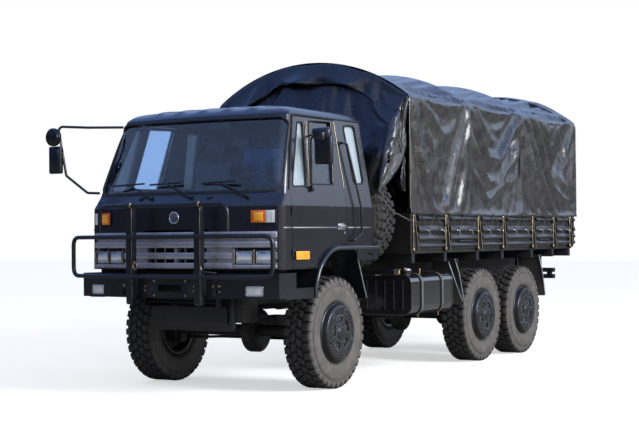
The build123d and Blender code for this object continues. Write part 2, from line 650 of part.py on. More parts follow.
GRILLE_BARS = ((1212, 1267), (1302, 1365), (1409, 1466), (1500, 1560))
GRILLE_UPRIGHTS = (-1060, -620, -370, 0, 370, 620, 1060)
LAMP_PLACES = ((680, 840), (880, 1040))
HEAD_LAMP_Z = (1260, 1375)
BUMPER_LAMP_Y = (842, 1008)
BUMPER_LAMP_Z = (962, 1048)


def grille(outer):
    """Bowed bars across the nose, with upright ends and a box round each pair of lamps."""
    layer = Pos(4, 0, 0) * outer - Pos(-26, 0, 0) * outer
    back_layer = Pos(-24, 0, 0) * outer - Pos(-90, 0, 0) * outer
    bars = []
    for low, high in GRILLE_BARS:
        bars.append(from_front(((-1083, low), (1083, low), (1083, high), (-1083, high)), (800, 1400)) & layer)
    for y in GRILLE_UPRIGHTS:
        bars.append(from_front(((y - 20, 1213), (y + 20, 1213), (y + 20, 1559), (y - 20, 1559)), (800, 1400))
                    & back_layer)
    frame = bars[0] + bars[1:]
    for side in (1, -1):
        frame -= block((900, 1300), (side * 645, side * 1058), (1250, 1395))
    return frame


def lamp_body(outer, ys, zs, proud, depth):
    """A lamp that follows the bowed nose, standing proud of it by a little."""
    layer = Pos(proud, 0, 0) * outer - Pos(-depth, 0, 0) * outer
    return from_front(lamp_corners(*ys, zs), (800, 1400)) & layer


def head_lamps(outer):
    """Two rectangular head lamps a side and one lamp at each end of the bumper."""
    lamps = []
    for low, high in LAMP_PLACES:
        lamps += pair_of(lamp_body(outer, (low, high), HEAD_LAMP_Z, -8, 90))
    lamps += pair_of(block((1085, 1150), BUMPER_LAMP_Y, BUMPER_LAMP_Z))
    return lamps


def turn_signals(outer):
    """Corner lamps above the grille, seated in pockets of the nose."""
    return pair_of(lamp_body(outer, TURN_SIGNAL_Y, TURN_SIGNAL_Z, 12, LAMP_SEAT))


# Each wiper: y of the pivot, x of the pivot, x of the blade's middle
WIPERS = ((756, 1060, 1030), (147, 1112, 1050), (-336, 1102, 1020))


def wipers(outer):
    """Three wipers parked on the screen."""
    arms = []
    for pivot_y, pivot_x, blade_x in WIPERS:
        tip_y = pivot_y - 330
        arm = rod((pivot_x + 8, pivot_y, 1898), (blade_x + 22, tip_y, 2035), 8)
        blade = rod((blade_x + 8, tip_y - 200, 2025), (blade_x + 18, tip_y + 200, 2040), 9)
        boss = rod((pivot_x - 40, pivot_y, 1870), (pivot_x + 12, pivot_y, 1900), 18)
        arms.append(arm + [blade, boss] - outer)
    return [max(arm.solids(), key=lambda piece: piece.volume) for arm in arms]


def mirrors():
    """A mirror arm each side with a tall glass and a round one above it."""
    arm = bent_tube(((940, 1118, 1964), (915, 1290, 1972), (1020, 1480, 2150), (1030, 1575, 2655),
                     (900, 1290, 2640), (700, 990, 2640)), 40, 13)
    tall = block((1045, 1100), (1490, 1650), (2170, 2450))
    tall = fillet(tall.edges(), 20)
    clamp = rod((1025, 1532, 2400), (1060, 1532, 2400), 18) + rod((1028, 1555, 2530), (1060, 1555, 2530), 18)
    round_one = rod((1058, 1600, 2545), (1090, 1600, 2545), 92)
    return pair_of(arm + [clamp, tall, round_one])


def flares():
    """Front wheel flares with their inner guards and flaps."""
    band = from_side(arch_space(ARCH_RADIUS, ARCH_TOP_Z, -765), (800, FLARE_HALF_WIDTH))
    inside = ARCH_RADIUS - FLARE_THICKNESS
    band -= from_side(arch_space(inside, ARCH_TOP_Z - FLARE_THICKNESS, -800), (790, FLARE_HALF_WIDTH + 10))
    band &= block((-765, 600), (700, 1200), (ARCH_CENTRE[1], 1500))
    plate = block((-765, -330), (FLARE_HALF_WIDTH - 14, FLARE_HALF_WIDTH), (1263, ARCH_TOP_Z - FLARE_THICKNESS + 1))
    plate -= block((-640, -540), (1100, 1200), (1300, 1335))
    flap = from_side(side_outline(((-343, 1390), (-353, 1390), (-574, 871), (-564, 871))), (800, 1130))
    return pair_of(band + [plate, flap])


def dashboard():
    """The dashboard with the steering column and wheel on the left."""
    panel = from_side(side_outline(((700, 1720), (905, 1690), (905, 1800), (840, 1925), (740, 1925)), 15),
                      (-1040, 1040))
    hub = Vector(500, 560, 1985)
    axis = Vector(0.62, 0, -0.78)
    foot = hub + axis * 345
    column = rod((foot.X, foot.Y, foot.Z), (hub.X, hub.Y, hub.Z), 26)
    wheel_plane = Plane(origin=(at(hub.X), hub.Y, hub.Z), z_dir=axis)
    ring = wheel_plane * Torus(225, 14)
    spokes = [wheel_plane * Rot(0, 0, turn) * Pos(115, 0, 0) * Box(225, 26, 12) for turn in (90, 210, 330)]
    return panel + [column, ring] + spokes


def seats():
    """Driver's seat and a double passenger seat."""
    chairs = []
    for low, high in ((430, 950), (-950, -430)):
        squab = block((-330, 190), (low, high), (1445, 1830))
        back = from_side(side_outline(((-330, 1445), (-330, 1830), (-440, 2380), (-520, 2380), (-470, 1445))),
                         (low, high))
        rest = from_side(side_outline(((-448, 2379), (-462, 2530), (-520, 2530), (-522, 2379))),
                         ((low + high) / 2 - 130, (low + high) / 2 + 130))
        chairs.append(squab + [back, rest])
    return chairs


# Load bed

TAILGATE_HINGE = (-6246, 1352)
TAILGATE_HINGE_PLACES = (-900, -300, 300, 900)
HINGE_HALF_LENGTH = 30
BED_POSTS = (-1484, -2277, -3145, -3868, -4798, -5508, -6103)
BED_FLOOR_BOTTOM_Z = 1310
PANEL = 35
SIDE_RIBS = (1393, 1482, 1633, 1725)
STAKE_FLANGE = 9


def hinge_rod(low_y, high_y, radius):
    """A round bar along the tailgate's hinge line."""
    x, z = TAILGATE_HINGE
    return rod((x, low_y, z), (x, high_y, z), radius)


def hinge_ends(y):
    """The y ranges of the two fixed knuckles beside a tailgate strap."""
    return ((y - HINGE_HALF_LENGTH - 26, y - HINGE_HALF_LENGTH - 2), (y + HINGE_HALF_LENGTH + 2, y + HINGE_HALF_LENGTH + 26))


def bed_floor():
    """The bed's floor plate on cross bearers and two long sills, with the fixed half of the tailgate's hinges."""
    floor = block((BED_REAR_X, BED_FRONT_X - PANEL), (-1200, 1200), (BED_FLOOR_BOTTOM_Z, BED_FLOOR_Z))
    parts = []
    for y in TAILGATE_HINGE_PLACES:
        for ys in hinge_ends(y):
            parts += [hinge_rod(*ys, 12), block((TAILGATE_HINGE[0], BED_REAR_X + 1), ys, (1332, BED_FLOOR_Z - 2))]
        parts.append(hinge_rod(y - HINGE_HALF_LENGTH - 26, y + HINGE_HALF_LENGTH + 26, 5.5))
    for x in BED_POSTS:
        parts.append(block((x - 35, x + 35), (-1200, 1200), (1210, BED_FLOOR_BOTTOM_Z)))
    for side in (1, -1):
        parts.append(block((BED_REAR_X, BED_FRONT_X), (side * 350, side * 430), (FRAME_TOP_Z, 1210)))
    return floor + parts


def stake(x, side):
    """A stake on one side of the bed: a channel open outwards, wider at its foot than at its top."""
    front, top, foot = x + 60, x, x - 65
    low, high = 1330, BED_SIDE_TOP_Z
    post = from_side(side_outline(((front, low), (front, high), (top, high), (foot, low))),
                     (side * 1214, side * BED_HALF_WIDTH))
    flange = STAKE_FLANGE
    hollow = side_outline(((front - flange, low + flange), (front - flange, high - flange), (top + flange, high - flange),
                           (foot + flange, low + flange)))
    return post - from_side(hollow, (side * 1223, side * (BED_HALF_WIDTH + 1)))


def bed_sides():
    """The two ribbed sides with their stakes, and the board at the front."""
    board = block((BED_FRONT_X - PANEL, BED_FRONT_X), (-BED_HALF_WIDTH, BED_HALF_WIDTH),
                  (BED_FLOOR_BOTTOM_Z, BED_SIDE_TOP_Z))
    parts = []
    for side in (1, -1):
        ys = (side * 1200, side * (BED_HALF_WIDTH - 20))
        parts.append(block((BED_REAR_X, BED_FRONT_X), ys, (BED_FLOOR_Z, BED_SIDE_TOP_Z)))
        ends = [BED_FRONT_X]
        for x in BED_POSTS:
            ends += [x + 60 - STAKE_FLANGE / 2, x - 55]
        ends.append(BED_REAR_X)
        for front, rear in zip(ends[::2], ends[1::2]):
            for z in SIDE_RIBS:
                parts.append(block((rear, front), (side * 1214, side * 1228), (z - 14, z + 14)))
        parts += [stake(x, side) for x in BED_POSTS]
    return board + parts


def tailgate():
    """The drop-down tailgate that closes against the ends of the sides."""
    board = block((BED_REAR_X - 40, BED_REAR_X - 8), (-1225, 1225), (BED_FLOOR_Z + 10, BED_SIDE_TOP_Z))
    for z in (1420, 1540, 1660):
        board += block((BED_REAR_X - 52, BED_REAR_X - 39), (-1215, 1215), (z - 15, z + 15))
    for y in TAILGATE_HINGE_PLACES:
        for low, high in hinge_ends(y):
            board -= hinge_rod(low - 2, high + 2, 15)
        low, high = y - HINGE_HALF_LENGTH, y + HINGE_HALF_LENGTH
        board += block((BED_REAR_X - 54, BED_REAR_X - 39), (low, high), (TAILGATE_HINGE[1], 1450))
        board += hinge_rod(low, high, 12)
        board -= hinge_rod(low - 1, high + 1, 6.5)
    return board


CLOTH = 8
CANOPY_BOWS = (-1430, -2890, -4410, -6160)
# The front curtain's outline as y, z on the left from the tied corner up, and its side section as x, z
CURTAIN_EDGE = ((1130, 1950), (1160, 2400), (1195, 2750), (1195, 2985), (930, 3185), (500, 3330))
CURTAIN_SECTION = ((-1360, 3340), (-1336, 3340), (-1290, 3120), (-838, 2330), (-826, 1950), (-846, 1950), (-860, 2322),
                   (-1312, 3108), (-1360, 3108))
CURTAIN_FLAP = ((-1360, 3107), (-1300, 3117), (-848, 2332), (-836, 1950), (-1360, 2700))


def canopy_section(inset):
    """The canopy's cross-section: upright sides, rounded shoulders and an arched top."""
    half = BED_HALF_WIDTH - inset
    ridge = CANOPY_RIDGE_Z - inset
    shoulder = CANOPY_SHOULDER_Z - inset
    low = CANOPY_HEM_Z - (1 if inset else 0)
    sides = Polyline((0, half, shoulder), (0, half, low), (0, -half, low), (0, -half, shoulder))
    top = ThreePointArc((0, -half, shoulder), (0, 0, ridge), (0, half, shoulder))
    face = make_face(Curve() + [sides, top])
    high = [corner for corner in face.vertices() if corner.Z > low + 100]
    return fillet(high, 120 - inset)


def along(face, xs):
    """A section of the bed drawn out between two x."""
    return extrude(Pos(at(xs[0]), 0, 0) * face, amount=xs[1] - xs[0], dir=(1, 0, 0))


def canopy():
    """The canopy: a hollow cover closed at both ends and open to the bed below."""
    cover = along(canopy_section(0), (CANOPY_REAR_X, BED_FRONT_X))
    return cover - along(canopy_section(CLOTH), (CANOPY_REAR_X + CLOTH, BED_FRONT_X - CLOTH))


def canopy_bows():
    """Four hoops under the canopy, clamped to the bed's sides."""
    hoops = []
    for x in CANOPY_BOWS:
        hoop = along(canopy_section(CLOTH + 6), (x - 17, x + 17)) - along(canopy_section(CLOTH + 40), (x - 18, x + 18))
        hoop -= block((x - 20, x + 20), (-1190, 1190), (1700, 1800))
        legs = [block((x - 17, x + 17), (side * 1165, side * 1200), (1500, CANOPY_HEM_Z + 5)) for side in (1, -1)]
        link = [block((x - 17, x + 17), (side * 1165, side * 1221), (CANOPY_HEM_Z, CANOPY_HEM_Z + 40))
                for side in (1, -1)]
        hoops.append(hoop + legs + link)
    return hoops


def front_curtain():
    """The front curtain, drawn forward over the spare wheel, with a flap at each side."""
    edge = CURTAIN_EDGE + tuple((-y, z) for y, z in reversed(CURTAIN_EDGE))
    sheet = from_side(side_outline(CURTAIN_SECTION), (-BED_HALF_WIDTH, BED_HALF_WIDTH))
    curtain = sheet & from_front(edge, (BED_FRONT_X, -800))
    return curtain + [from_side(side_outline(CURTAIN_FLAP), (side * 1110, side * 1129)) for side in (1, -1)]


def tail_lamps():
    """Rear lamps on brackets under the bed's tail."""
    lamps = []
    for side in (1, -1):
        bracket = block((-6190, -6150), (side * 700, side * 1150), (1215, 1309))
        lamp = block((-6215, -6190), (side * 760, side * 1120), (1225, 1300))
        lamps.append(bracket + lamp)
    return lamps


def main():
    """Build every node and write it."""
    os.makedirs("parts", exist_ok=True)
    save("frame_rails", frame_rails())
    save("leaf_springs", leaf_springs())
    save("front_axle", front_axle())
    save("rear_axles", [rear_axle(x) for name, x in REAR_AXLES])
    save("knuckle_left", knuckle())
    save("knuckle_right", mirrored(knuckle()))
    save("track_rod", track_rod())
    left_rim, left_tyre, right_rim = rim(), tyre(), mirrored(rim())
    for name, x in (("front", 0),) + REAR_AXLES:
        save(f"tyre_{name}_left", Pos(at(x), WHEEL_CENTRE_Y, AXLE_Z) * left_tyre)
        save(f"tyre_{name}_right", Pos(at(x), -WHEEL_CENTRE_Y, AXLE_Z) * left_tyre)
        save(f"rim_{name}_left", Pos(at(x), WHEEL_CENTRE_Y, AXLE_Z) * left_rim)
        save(f"rim_{name}_right", Pos(at(x), -WHEEL_CENTRE_Y, AXLE_Z) * right_rim)
    save("engine", engine())
    save("driveline", driveline())
    save("radiator", radiator())
    save("fuel_tank", fuel_tank())
    save("battery_box", battery_box())
    save("exhaust", exhaust())
    save("rear_mudguards", rear_mudguards())
    save("spare_tyre", stand_upright(left_tyre))
    save("spare_rim", stand_upright(rim(False)))
    save("spare_carrier", spare_carrier())
    save("bumper", bumper())
    save("brush_guard", brush_guard())
    shell, doors, cab_glass, door_glass, outer = build_cab()
    save("cab_shell", shell)
    save("door_left", doors[0])
    save("door_right", doors[1])
    save("cab_glass", cab_glass)
    save("door_glass_left", [pane for pane in door_glass if pane.center().Y > 0])
    save("door_glass_right", [pane for pane in door_glass if pane.center().Y < 0])
    save("grille", grille(outer))
    save("head_lamps", head_lamps(outer))
    save("turn_signals", turn_signals(outer))
    save("wipers", wipers(outer))
    save("mirrors", mirrors())
    save("flares", flares())
    save("dashboard", dashboard())
    save("seats", seats())
    save("bed_floor", bed_floor())
    save("bed_sides", bed_sides())
    save("tailgate", tailgate())
    save("canopy", canopy())
    save("canopy_bows", canopy_bows())
    save("front_curtain", front_curtain())
    save("tail_lamps", tail_lamps())


main()
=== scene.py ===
import math
import bpy
from mathutils import Matrix, Vector, noise


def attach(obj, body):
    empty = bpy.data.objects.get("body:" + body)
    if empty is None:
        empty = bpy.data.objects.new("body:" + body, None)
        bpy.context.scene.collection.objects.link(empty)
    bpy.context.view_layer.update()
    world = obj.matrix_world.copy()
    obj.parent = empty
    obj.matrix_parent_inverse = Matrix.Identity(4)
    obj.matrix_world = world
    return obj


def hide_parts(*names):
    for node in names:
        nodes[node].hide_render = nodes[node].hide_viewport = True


# A six-wheel-drive military cargo truck with a forward cab and a covered bed, in metres.
# +X is forward, +Y is the truck's left side and +Z is up.
# Points are given from the front axle, and each maker moves them by FRONT_AXLE_X.

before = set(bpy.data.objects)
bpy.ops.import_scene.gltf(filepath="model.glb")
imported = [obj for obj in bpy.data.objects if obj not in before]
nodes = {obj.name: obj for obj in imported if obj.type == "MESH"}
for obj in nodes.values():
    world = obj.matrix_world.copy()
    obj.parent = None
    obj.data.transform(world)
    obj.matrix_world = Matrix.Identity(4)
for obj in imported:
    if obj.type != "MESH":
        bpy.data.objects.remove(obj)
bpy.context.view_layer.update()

FRONT_AXLE_X = 2.45
WHEEL_CENTRE_Y, AXLE_Z = 0.96, 0.554
AXLES = (("front", 0.0), ("middle", -3.475), ("rear", -4.725))
SIDES = (("left", 1), ("right", -1))
SPARE_CENTRE = (-1.04, 0.6, 1.7)

CORNER_BEND = 0.07
# Cab sections from the bottom up: height, half width, front x at the corner, front x in the middle
CAB_SECTIONS = ((1.2, 1.13, 1.04, 1.185), (1.8, 1.13, 1.03, 1.18), (1.915, 1.11, 0.955, 1.085),
                (2.68, 0.978, 0.69, 0.8), (2.745, 0.925, 0.6, 0.7), (2.771, 0.825, 0.505, 0.59),
                (2.785, 0.7, 0.38, 0.45))
QUARTER_LIGHT = ((0.802, 1.982), (0.543, 1.993), (0.428, 2.618), (0.53, 2.612))
DOOR_WINDOW = ((0.458, 2.011), (0.311, 2.636), (-0.125, 2.65), (0.01, 2.017))
REAR_SIDE_WINDOW = ((-0.356, 2.63), (-0.594, 2.639), (-0.606, 2.044), (-0.399, 2.033))
WINDSCREEN = ((-1.08, 1.94), (1.08, 1.94), (0.985, 2.655), (-0.985, 2.655))

BED_HALF_WIDTH = 1.235
BED_FRONT_X, CANOPY_REAR_X = -1.36, -6.3
HEM_Z, SHOULDER_Z, RIDGE_Z = 1.737, 3.0, 3.43
BOWS = (-1.4, -2.89, -4.41, -6.24)
POSTS = (-1.484, -2.277, -3.145, -3.868, -4.798, -5.508, -6.103)
MIRROR = Matrix.Scale(-1, 4, (0, 1, 0))
MERGE_GAP = 0.00005


def at(x, y, z):
    """A point given from the front axle, in the truck's own frame."""
    return Vector((x + FRONT_AXLE_X, y, z))


def cab_section(z):
    """Half width, corner x and middle x of the cab's front at one height."""
    for below, above in zip(CAB_SECTIONS, CAB_SECTIONS[1:]):
        if z <= above[0]:
            break
    share = (z - below[0]) / (above[0] - below[0])
    return [low + (high - low) * share for low, high in zip(below[1:], above[1:])]


def nose_point(y, z, proud=0.0):
    """A point on the cab's bowed front, which turns into the side round a bend."""
    half, corner, middle = cab_section(z)
    bow = middle - corner
    radius = (half ** 2 + bow ** 2) / (2 * bow)
    bend_y = half - CORNER_BEND
    if abs(y) * (radius - CORNER_BEND) > bend_y * radius:
        over = max(0, CORNER_BEND ** 2 - (abs(y) - bend_y) ** 2)
        x = math.sqrt((radius - CORNER_BEND) ** 2 - bend_y ** 2) + math.sqrt(over)
    else:
        x = math.sqrt(radius ** 2 - y ** 2)
    return middle - radius + x + proud, y, z


def side_point(x, z, side, proud=0.0):
    """A point on the cab's side, which leans inwards above the belt."""
    return x, side * (cab_section(z)[0] + proud), z


# Making and finishing pieces

def mode(name):
    bpy.ops.object.mode_set(mode=name)


def pick(action="SELECT"):
    bpy.ops.mesh.select_all(action=action)


def deselect():
    """Leave edit mode and select nothing."""
    if bpy.context.object and bpy.context.object.mode == "EDIT":
        mode("OBJECT")
    bpy.ops.object.select_all(action="DESELECT")


def only(piece):
    """Select one piece and make it the active one."""
    deselect()
    piece.select_set(True)
    bpy.context.view_layer.objects.active = piece
    return piece


def added(name, data):
    """A new object in the scene."""
    piece = bpy.data.objects.new(name, data)
    bpy.context.scene.collection.objects.link(piece)
    return piece


def modify(piece, kind, **settings):
    """Add one modifier and apply it."""
    only(piece)
    modifier = piece.modifiers.new(kind.lower(), kind)
    for key, value in settings.items():
        setattr(modifier, key, value)
    bpy.ops.object.modifier_apply(modifier=modifier.name)
    return piece


def soften(piece, width=0.003, segments=2, angle=30):
    """Round the sharp edges and shade the rest smooth."""
    if width:
        modify(piece, "BEVEL", width=width, segments=segments, limit_method="ANGLE", angle_limit=math.radians(angle))
    only(piece)
    bpy.ops.object.shade_smooth_by_angle(angle=math.radians(40))
    return piece


def settled():
    """The new primitive, with its place put into its mesh."""
    piece = only(bpy.context.object)
    bpy.ops.object.transform_apply(location=True, rotation=True, scale=True)
    return piece


def block(low, high, edge=0.003, segments=2):
    """A bar or plate between two corners."""
    deselect()
    low, high = at(*low), at(*high)
    bpy.ops.mesh.primitive_cube_add(size=1, location=(low + high) / 2, scale=high - low)
    return soften(settled(), edge, segments)


def rod(start, end, radius, sides=20, edge=0.0015):
    """A round bar between two points."""
    deselect()
    start, end = at(*start), at(*end)
    reach = end - start
    bpy.ops.mesh.primitive_cylinder_add(vertices=sides, radius=radius, depth=reach.length, location=(start + end) / 2,
                                        rotation=reach.to_track_quat("Z", "Y").to_euler())
    return soften(settled(), edge)


def draw_out(reach):
    bpy.ops.mesh.extrude_region_move(TRANSFORM_OT_translate={"value": Vector(reach)})


def closed_up(piece, gap=0.0):
    """Merge what lies within the gap, turn all faces outwards and leave edit mode."""
    pick()
    if gap:
        bpy.ops.mesh.remove_doubles(threshold=gap)
    bpy.ops.mesh.normals_make_consistent(inside=False)
    mode("OBJECT")
    return piece


def chain(points, close=False):
    """A line of edges drawn from point to point, left open for editing."""
    deselect()
    bpy.ops.mesh.primitive_plane_add(size=0.001, location=(0, 0, 0))
    piece = bpy.context.object
    points = [Vector(point) for point in points]
    mode("EDIT")
    bpy.ops.mesh.select_mode(type="VERT")
    pick()
    bpy.ops.mesh.merge(type="CENTER")
    bpy.ops.transform.translate(value=points[0])
    for before, point in zip(points, points[1:] + points[:1] * close):
        draw_out(point - before)
    if close:
        pick()
        bpy.ops.mesh.remove_doubles(threshold=MERGE_GAP)
    return piece


def plate(points, reach, edge=0.002):
    """A flat outline drawn out along a vector."""
    piece = chain([at(*point) for point in points])
    pick()
    bpy.ops.mesh.edge_face_add()
    draw_out(reach)
    return soften(closed_up(piece), edge)


def band(points, reach, thickness):
    """A closed strip drawn out along a vector, given a thickness."""
    piece = chain([at(*point) for point in points], close=True)
    pick()
    draw_out(reach)
    modify(closed_up(piece), "SOLIDIFY", thickness=thickness, offset=1)
    return soften(piece, 0.001)


def spun(profile, steps=64, close=True):
    """A ring turned about the Y axis from y, radius points."""
    piece = chain([(0, y, radius) for y, radius in profile], close)
    pick()
    bpy.ops.mesh.spin(steps=steps, angle=math.tau, center=(0, 0, 0), axis=(0, 1, 0), use_auto_merge=True)
    return closed_up(piece, MERGE_GAP)


def ring(radius, wide, high, sides, steps, y=0.0):
    """A round ring about the Y axis."""
    turns = [step * math.tau / sides for step in range(sides)]
    return spun([(wide * math.cos(turn) + y, radius + high * math.sin(turn)) for turn in turns], steps)


def tube(points, radius, bend=0.04, closed=False, resolution=3):
    """A round tube along straight runs with rounded corners."""
    deselect()
    points = [at(*point) for point in points]
    route, count = [], len(points)
    for number, point in enumerate(points):
        if not bend or not closed and number in (0, count - 1):
            route.append(point)
            continue
        for neighbour in (points[number - 1], points[(number + 1) % count]):
            run = neighbour - point
            route.append(point + run.normalized() * min(bend, run.length * 0.45))
        route.insert(-1, point)
    curve = bpy.data.curves.new("tube", "CURVE")
    curve.dimensions = "3D"
    spline = curve.splines.new("NURBS" if bend else "POLY")
    spline.points.add(len(route) - 1)
    for knot, point in zip(spline.points, route):
        knot.co = (*point, 1)
    spline.use_cyclic_u = closed
    if bend:
        spline.order_u, spline.resolution_u = 3, 4
        spline.use_endpoint_u = not closed
    curve.bevel_depth, curve.bevel_resolution = radius, resolution
    curve.use_fill_caps = True
    only(added("tube", curve))
    bpy.ops.object.convert(target="MESH")
    bpy.ops.object.shade_smooth_by_angle(angle=math.radians(50))
    return bpy.context.object


def sheet_mesh(name, rows):
    """A sheet from rows of points, joined in quads."""
    wide = len(rows[0])
    corners = [row * wide + column for row in range(len(rows) - 1) for column in range(wide - 1)]
    mesh = bpy.data.meshes.new(name)
    mesh.from_pydata([at(*point) for row in rows for point in row], [],
                     [(corner, corner + 1, corner + wide + 1, corner + wide) for corner in corners])
    return added(name, mesh)


def joined(pieces):
    """Several pieces made one mesh; a single piece stays as it is."""
    if not isinstance(pieces, list):
        return pieces
    only(pieces[0])
    for piece in pieces[1:]:
        piece.select_set(True)
    if len(pieces) > 1:
        bpy.ops.object.join()
    return bpy.context.object


def copied(piece, matrix=Matrix.Identity(4)):
    """A copy with its own mesh, moved by a matrix."""
    twin = piece.copy()
    twin.data = piece.data.copy()
    bpy.context.scene.collection.objects.link(twin)
    twin.data.transform(matrix)
    if matrix.determinant() < 0:
        twin.data.flip_normals()
    return twin


def pair(pieces):
    """One piece, or several joined, with its twin on the other side."""
    piece = joined(pieces)
    return joined([piece, copied(piece, MIRROR)])


def round_axle(piece, count):
    """The piece repeated all round the Y axis."""
    turner = added("turner", None)
    turner.rotation_euler = (0, math.tau / count, 0)
    bpy.context.view_layer.update()
    modify(piece, "ARRAY", use_relative_offset=False, use_object_offset=True, offset_object=turner, count=count)
    bpy.data.objects.remove(turner)
    return piece


def select_faces(piece, wanted):
    """Select the faces for which wanted(centre, normal) holds, and go into edit mode."""
    only(piece)
    mode("EDIT")
    bpy.ops.mesh.select_mode(type="FACE")
    pick("DESELECT")
    mode("OBJECT")
    for face in piece.data.polygons:
        face.select = wanted(face.center, face.normal)
    mode("EDIT")


def paint(piece, finish):
    """Give a piece one finish all over."""
    piece.data.materials.clear()
    piece.data.materials.append(finishes[finish])


def fit(pieces, name, finish, *stands_for, slot=None, body="chassis"):
    """Join the pieces, name and paint the result and let it ride on its body."""
    piece = joined(pieces)
    piece.name = name
    piece.data.name = name
    paint(piece, finish)
    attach(piece, body)
    if stands_for:
        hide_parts(*stands_for)
    return piece


# Finishes

def wire(tree, node, sockets):
    """Set a node's sockets, by name or number, to values or to the sockets that feed them."""
    for key, value in sockets.items():
        if isinstance(value, bpy.types.NodeSocket):
            tree.links.new(value, node.inputs[key])
        else:
            node.inputs[key].default_value = value


def add(tree, kind, sockets=None, **settings):
    """A new shader node with its settings and sockets."""
    node = tree.nodes.new("ShaderNode" + kind)
    for key, value in settings.items():
        setattr(node, key, value)
    wire(tree, node, sockets or {})
    return node


def mixed(tree, factor, low, high):
    """One colour passing into another; either may be a socket."""
    low, high = ((*colour, 1) if isinstance(colour, tuple) else colour for colour in (low, high))
    return add(tree, "Mix", {0: factor, 6: low, 7: high}, data_type="RGBA").outputs[2]


def maths(tree, kind, *values):
    """A sum worked out from sockets and numbers."""
    return add(tree, "Math", dict(enumerate(values)), operation=kind).outputs[0]


def spread(tree, value, low, high, to_low=0.0, to_high=1.0, **settings):
    """A value brought from one range into another."""
    ranges = {"Value": value, "From Min": low, "From Max": high, "To Min": to_low, "To Max": to_high}
    return add(tree, "MapRange", ranges, **settings).outputs["Result"]


def bump(tree, height, distance, strength=1.0, normal=None):
    """A relief over another one."""
    sockets = {"Height": height, "Distance": distance, "Strength": strength}
    if normal:
        sockets["Normal"] = normal
    return add(tree, "Bump", sockets).outputs["Normal"]


def noise_of(tree, place, scale, detail, **sockets):
    return add(tree, "TexNoise", {"Vector": place, "Scale": scale, "Detail": detail, **sockets}).outputs["Fac"]


def surface(name, deep, light, gloss, metallic=0.0, patch=2.5, grain=90.0, relief=0.0002, edge=0.0, dust=None,
            specular=0.5, coat=0.0, coat_gloss=0.08, clearness=0.0, made_of=None):
    """A finish of two tones in soft patches, with uneven gloss, a fine grain and dust towards the ground.
    dust is the height where it ends and its strength. made_of makes its tone or its relief another way."""
    material = bpy.data.materials.new(name)
    material.use_nodes = True
    tree = material.node_tree
    place = add(tree, "TexCoord").outputs["Object"]
    patches = noise_of(tree, place, patch, 7, Roughness=0.62)
    tones = add(tree, "ValToRGB", {"Fac": patches})
    for element, position, tone in zip(tones.color_ramp.elements, (0.36, 0.66), (deep, light)):
        element.position, element.color = position, (*tone, 1)
    colour, normal = tones.outputs["Color"], None
    if dust:
        fade = spread(tree, add(tree, "SeparateXYZ", {0: place}).outputs["Z"], dust[0], dust[0] * 0.35, 0.0, dust[1])
        colour = mixed(tree, maths(tree, "MULTIPLY", fade, patches), colour, DUST)
    if edge:
        normal = add(tree, "Bevel", {"Radius": edge}, samples=4).outputs["Normal"]
    if made_of:
        colour, normal = made_of(tree, place, patches, tones, colour)
    fine = noise_of(tree, place, grain, 4)
    looks = {"Metallic": metallic, "Specular IOR Level": specular, "Coat Weight": coat, "Coat Roughness": coat_gloss,
             "Base Color": colour, "Roughness": spread(tree, patches, 0.3, 0.7, *gloss),
             "Normal": bump(tree, fine, relief, 1.0, normal)}
    if clearness:
        looks.update({"Transmission Weight": clearness, "IOR": 1.45})
    wire(tree, tree.nodes["Principled BSDF"], looks)
    return material


def crinkled(tree, place, patches, tones, colour):
    """Coated cloth, crinkled in small creases."""
    folds = noise_of(tree, place, 7.0, 6, Roughness=0.58, Distortion=1.4)
    creases = noise_of(tree, place, 30.0, 5, Distortion=0.8)
    return colour, bump(tree, creases, 0.0032, 1.0, bump(tree, folds, 0.014, 0.8))


def dust_and_shade(tree, place, patches, tones, colour):
    """Pale dust held on the walls and the lugs' tips, where the piece's attribute is high: the walls' paleness is
    dust, the tips' a painted highlight, and the tread left dark between them a painted shade.
    """
    held = spread(tree, patches, 0.25, 0.7, 0.42, 1.0)
    where = add(tree, "Attribute", attribute_name="dust_and_shade").outputs["Fac"]
    return mixed(tree, maths(tree, "MULTIPLY", where, held), colour, (0.172, 0.16, 0.146)), None


def painted_reflection_bands(tree, place, patches, tones, colour):
    """A head lamp's lens with a painted reflection: grey at its foot, a white painted highlight in the middle and
    painted blue sky under its top edge.
    """
    height = spread(tree, add(tree, "SeparateXYZ", {0: place}).outputs["Z"], 1.268, 1.368, -0.22, 0.78)
    wire(tree, tones, {"Fac": maths(tree, "MULTIPLY_ADD", patches, 0.45, height)})
    bands = tones.color_ramp.elements
    bands[0].position, bands[1].position = 0.0, 1.0
    for position, tone in ((0.22, (0.45, 0.5, 0.58)), (0.36, (1.0, 1.0, 1.0)), (0.5, (0.75, 0.82, 0.95)),
                           (0.85, (0.32, 0.43, 0.68))):
        bands.new(position).color = (*tone, 1)
    return colour, None


DUST = (0.2, 0.175, 0.15)
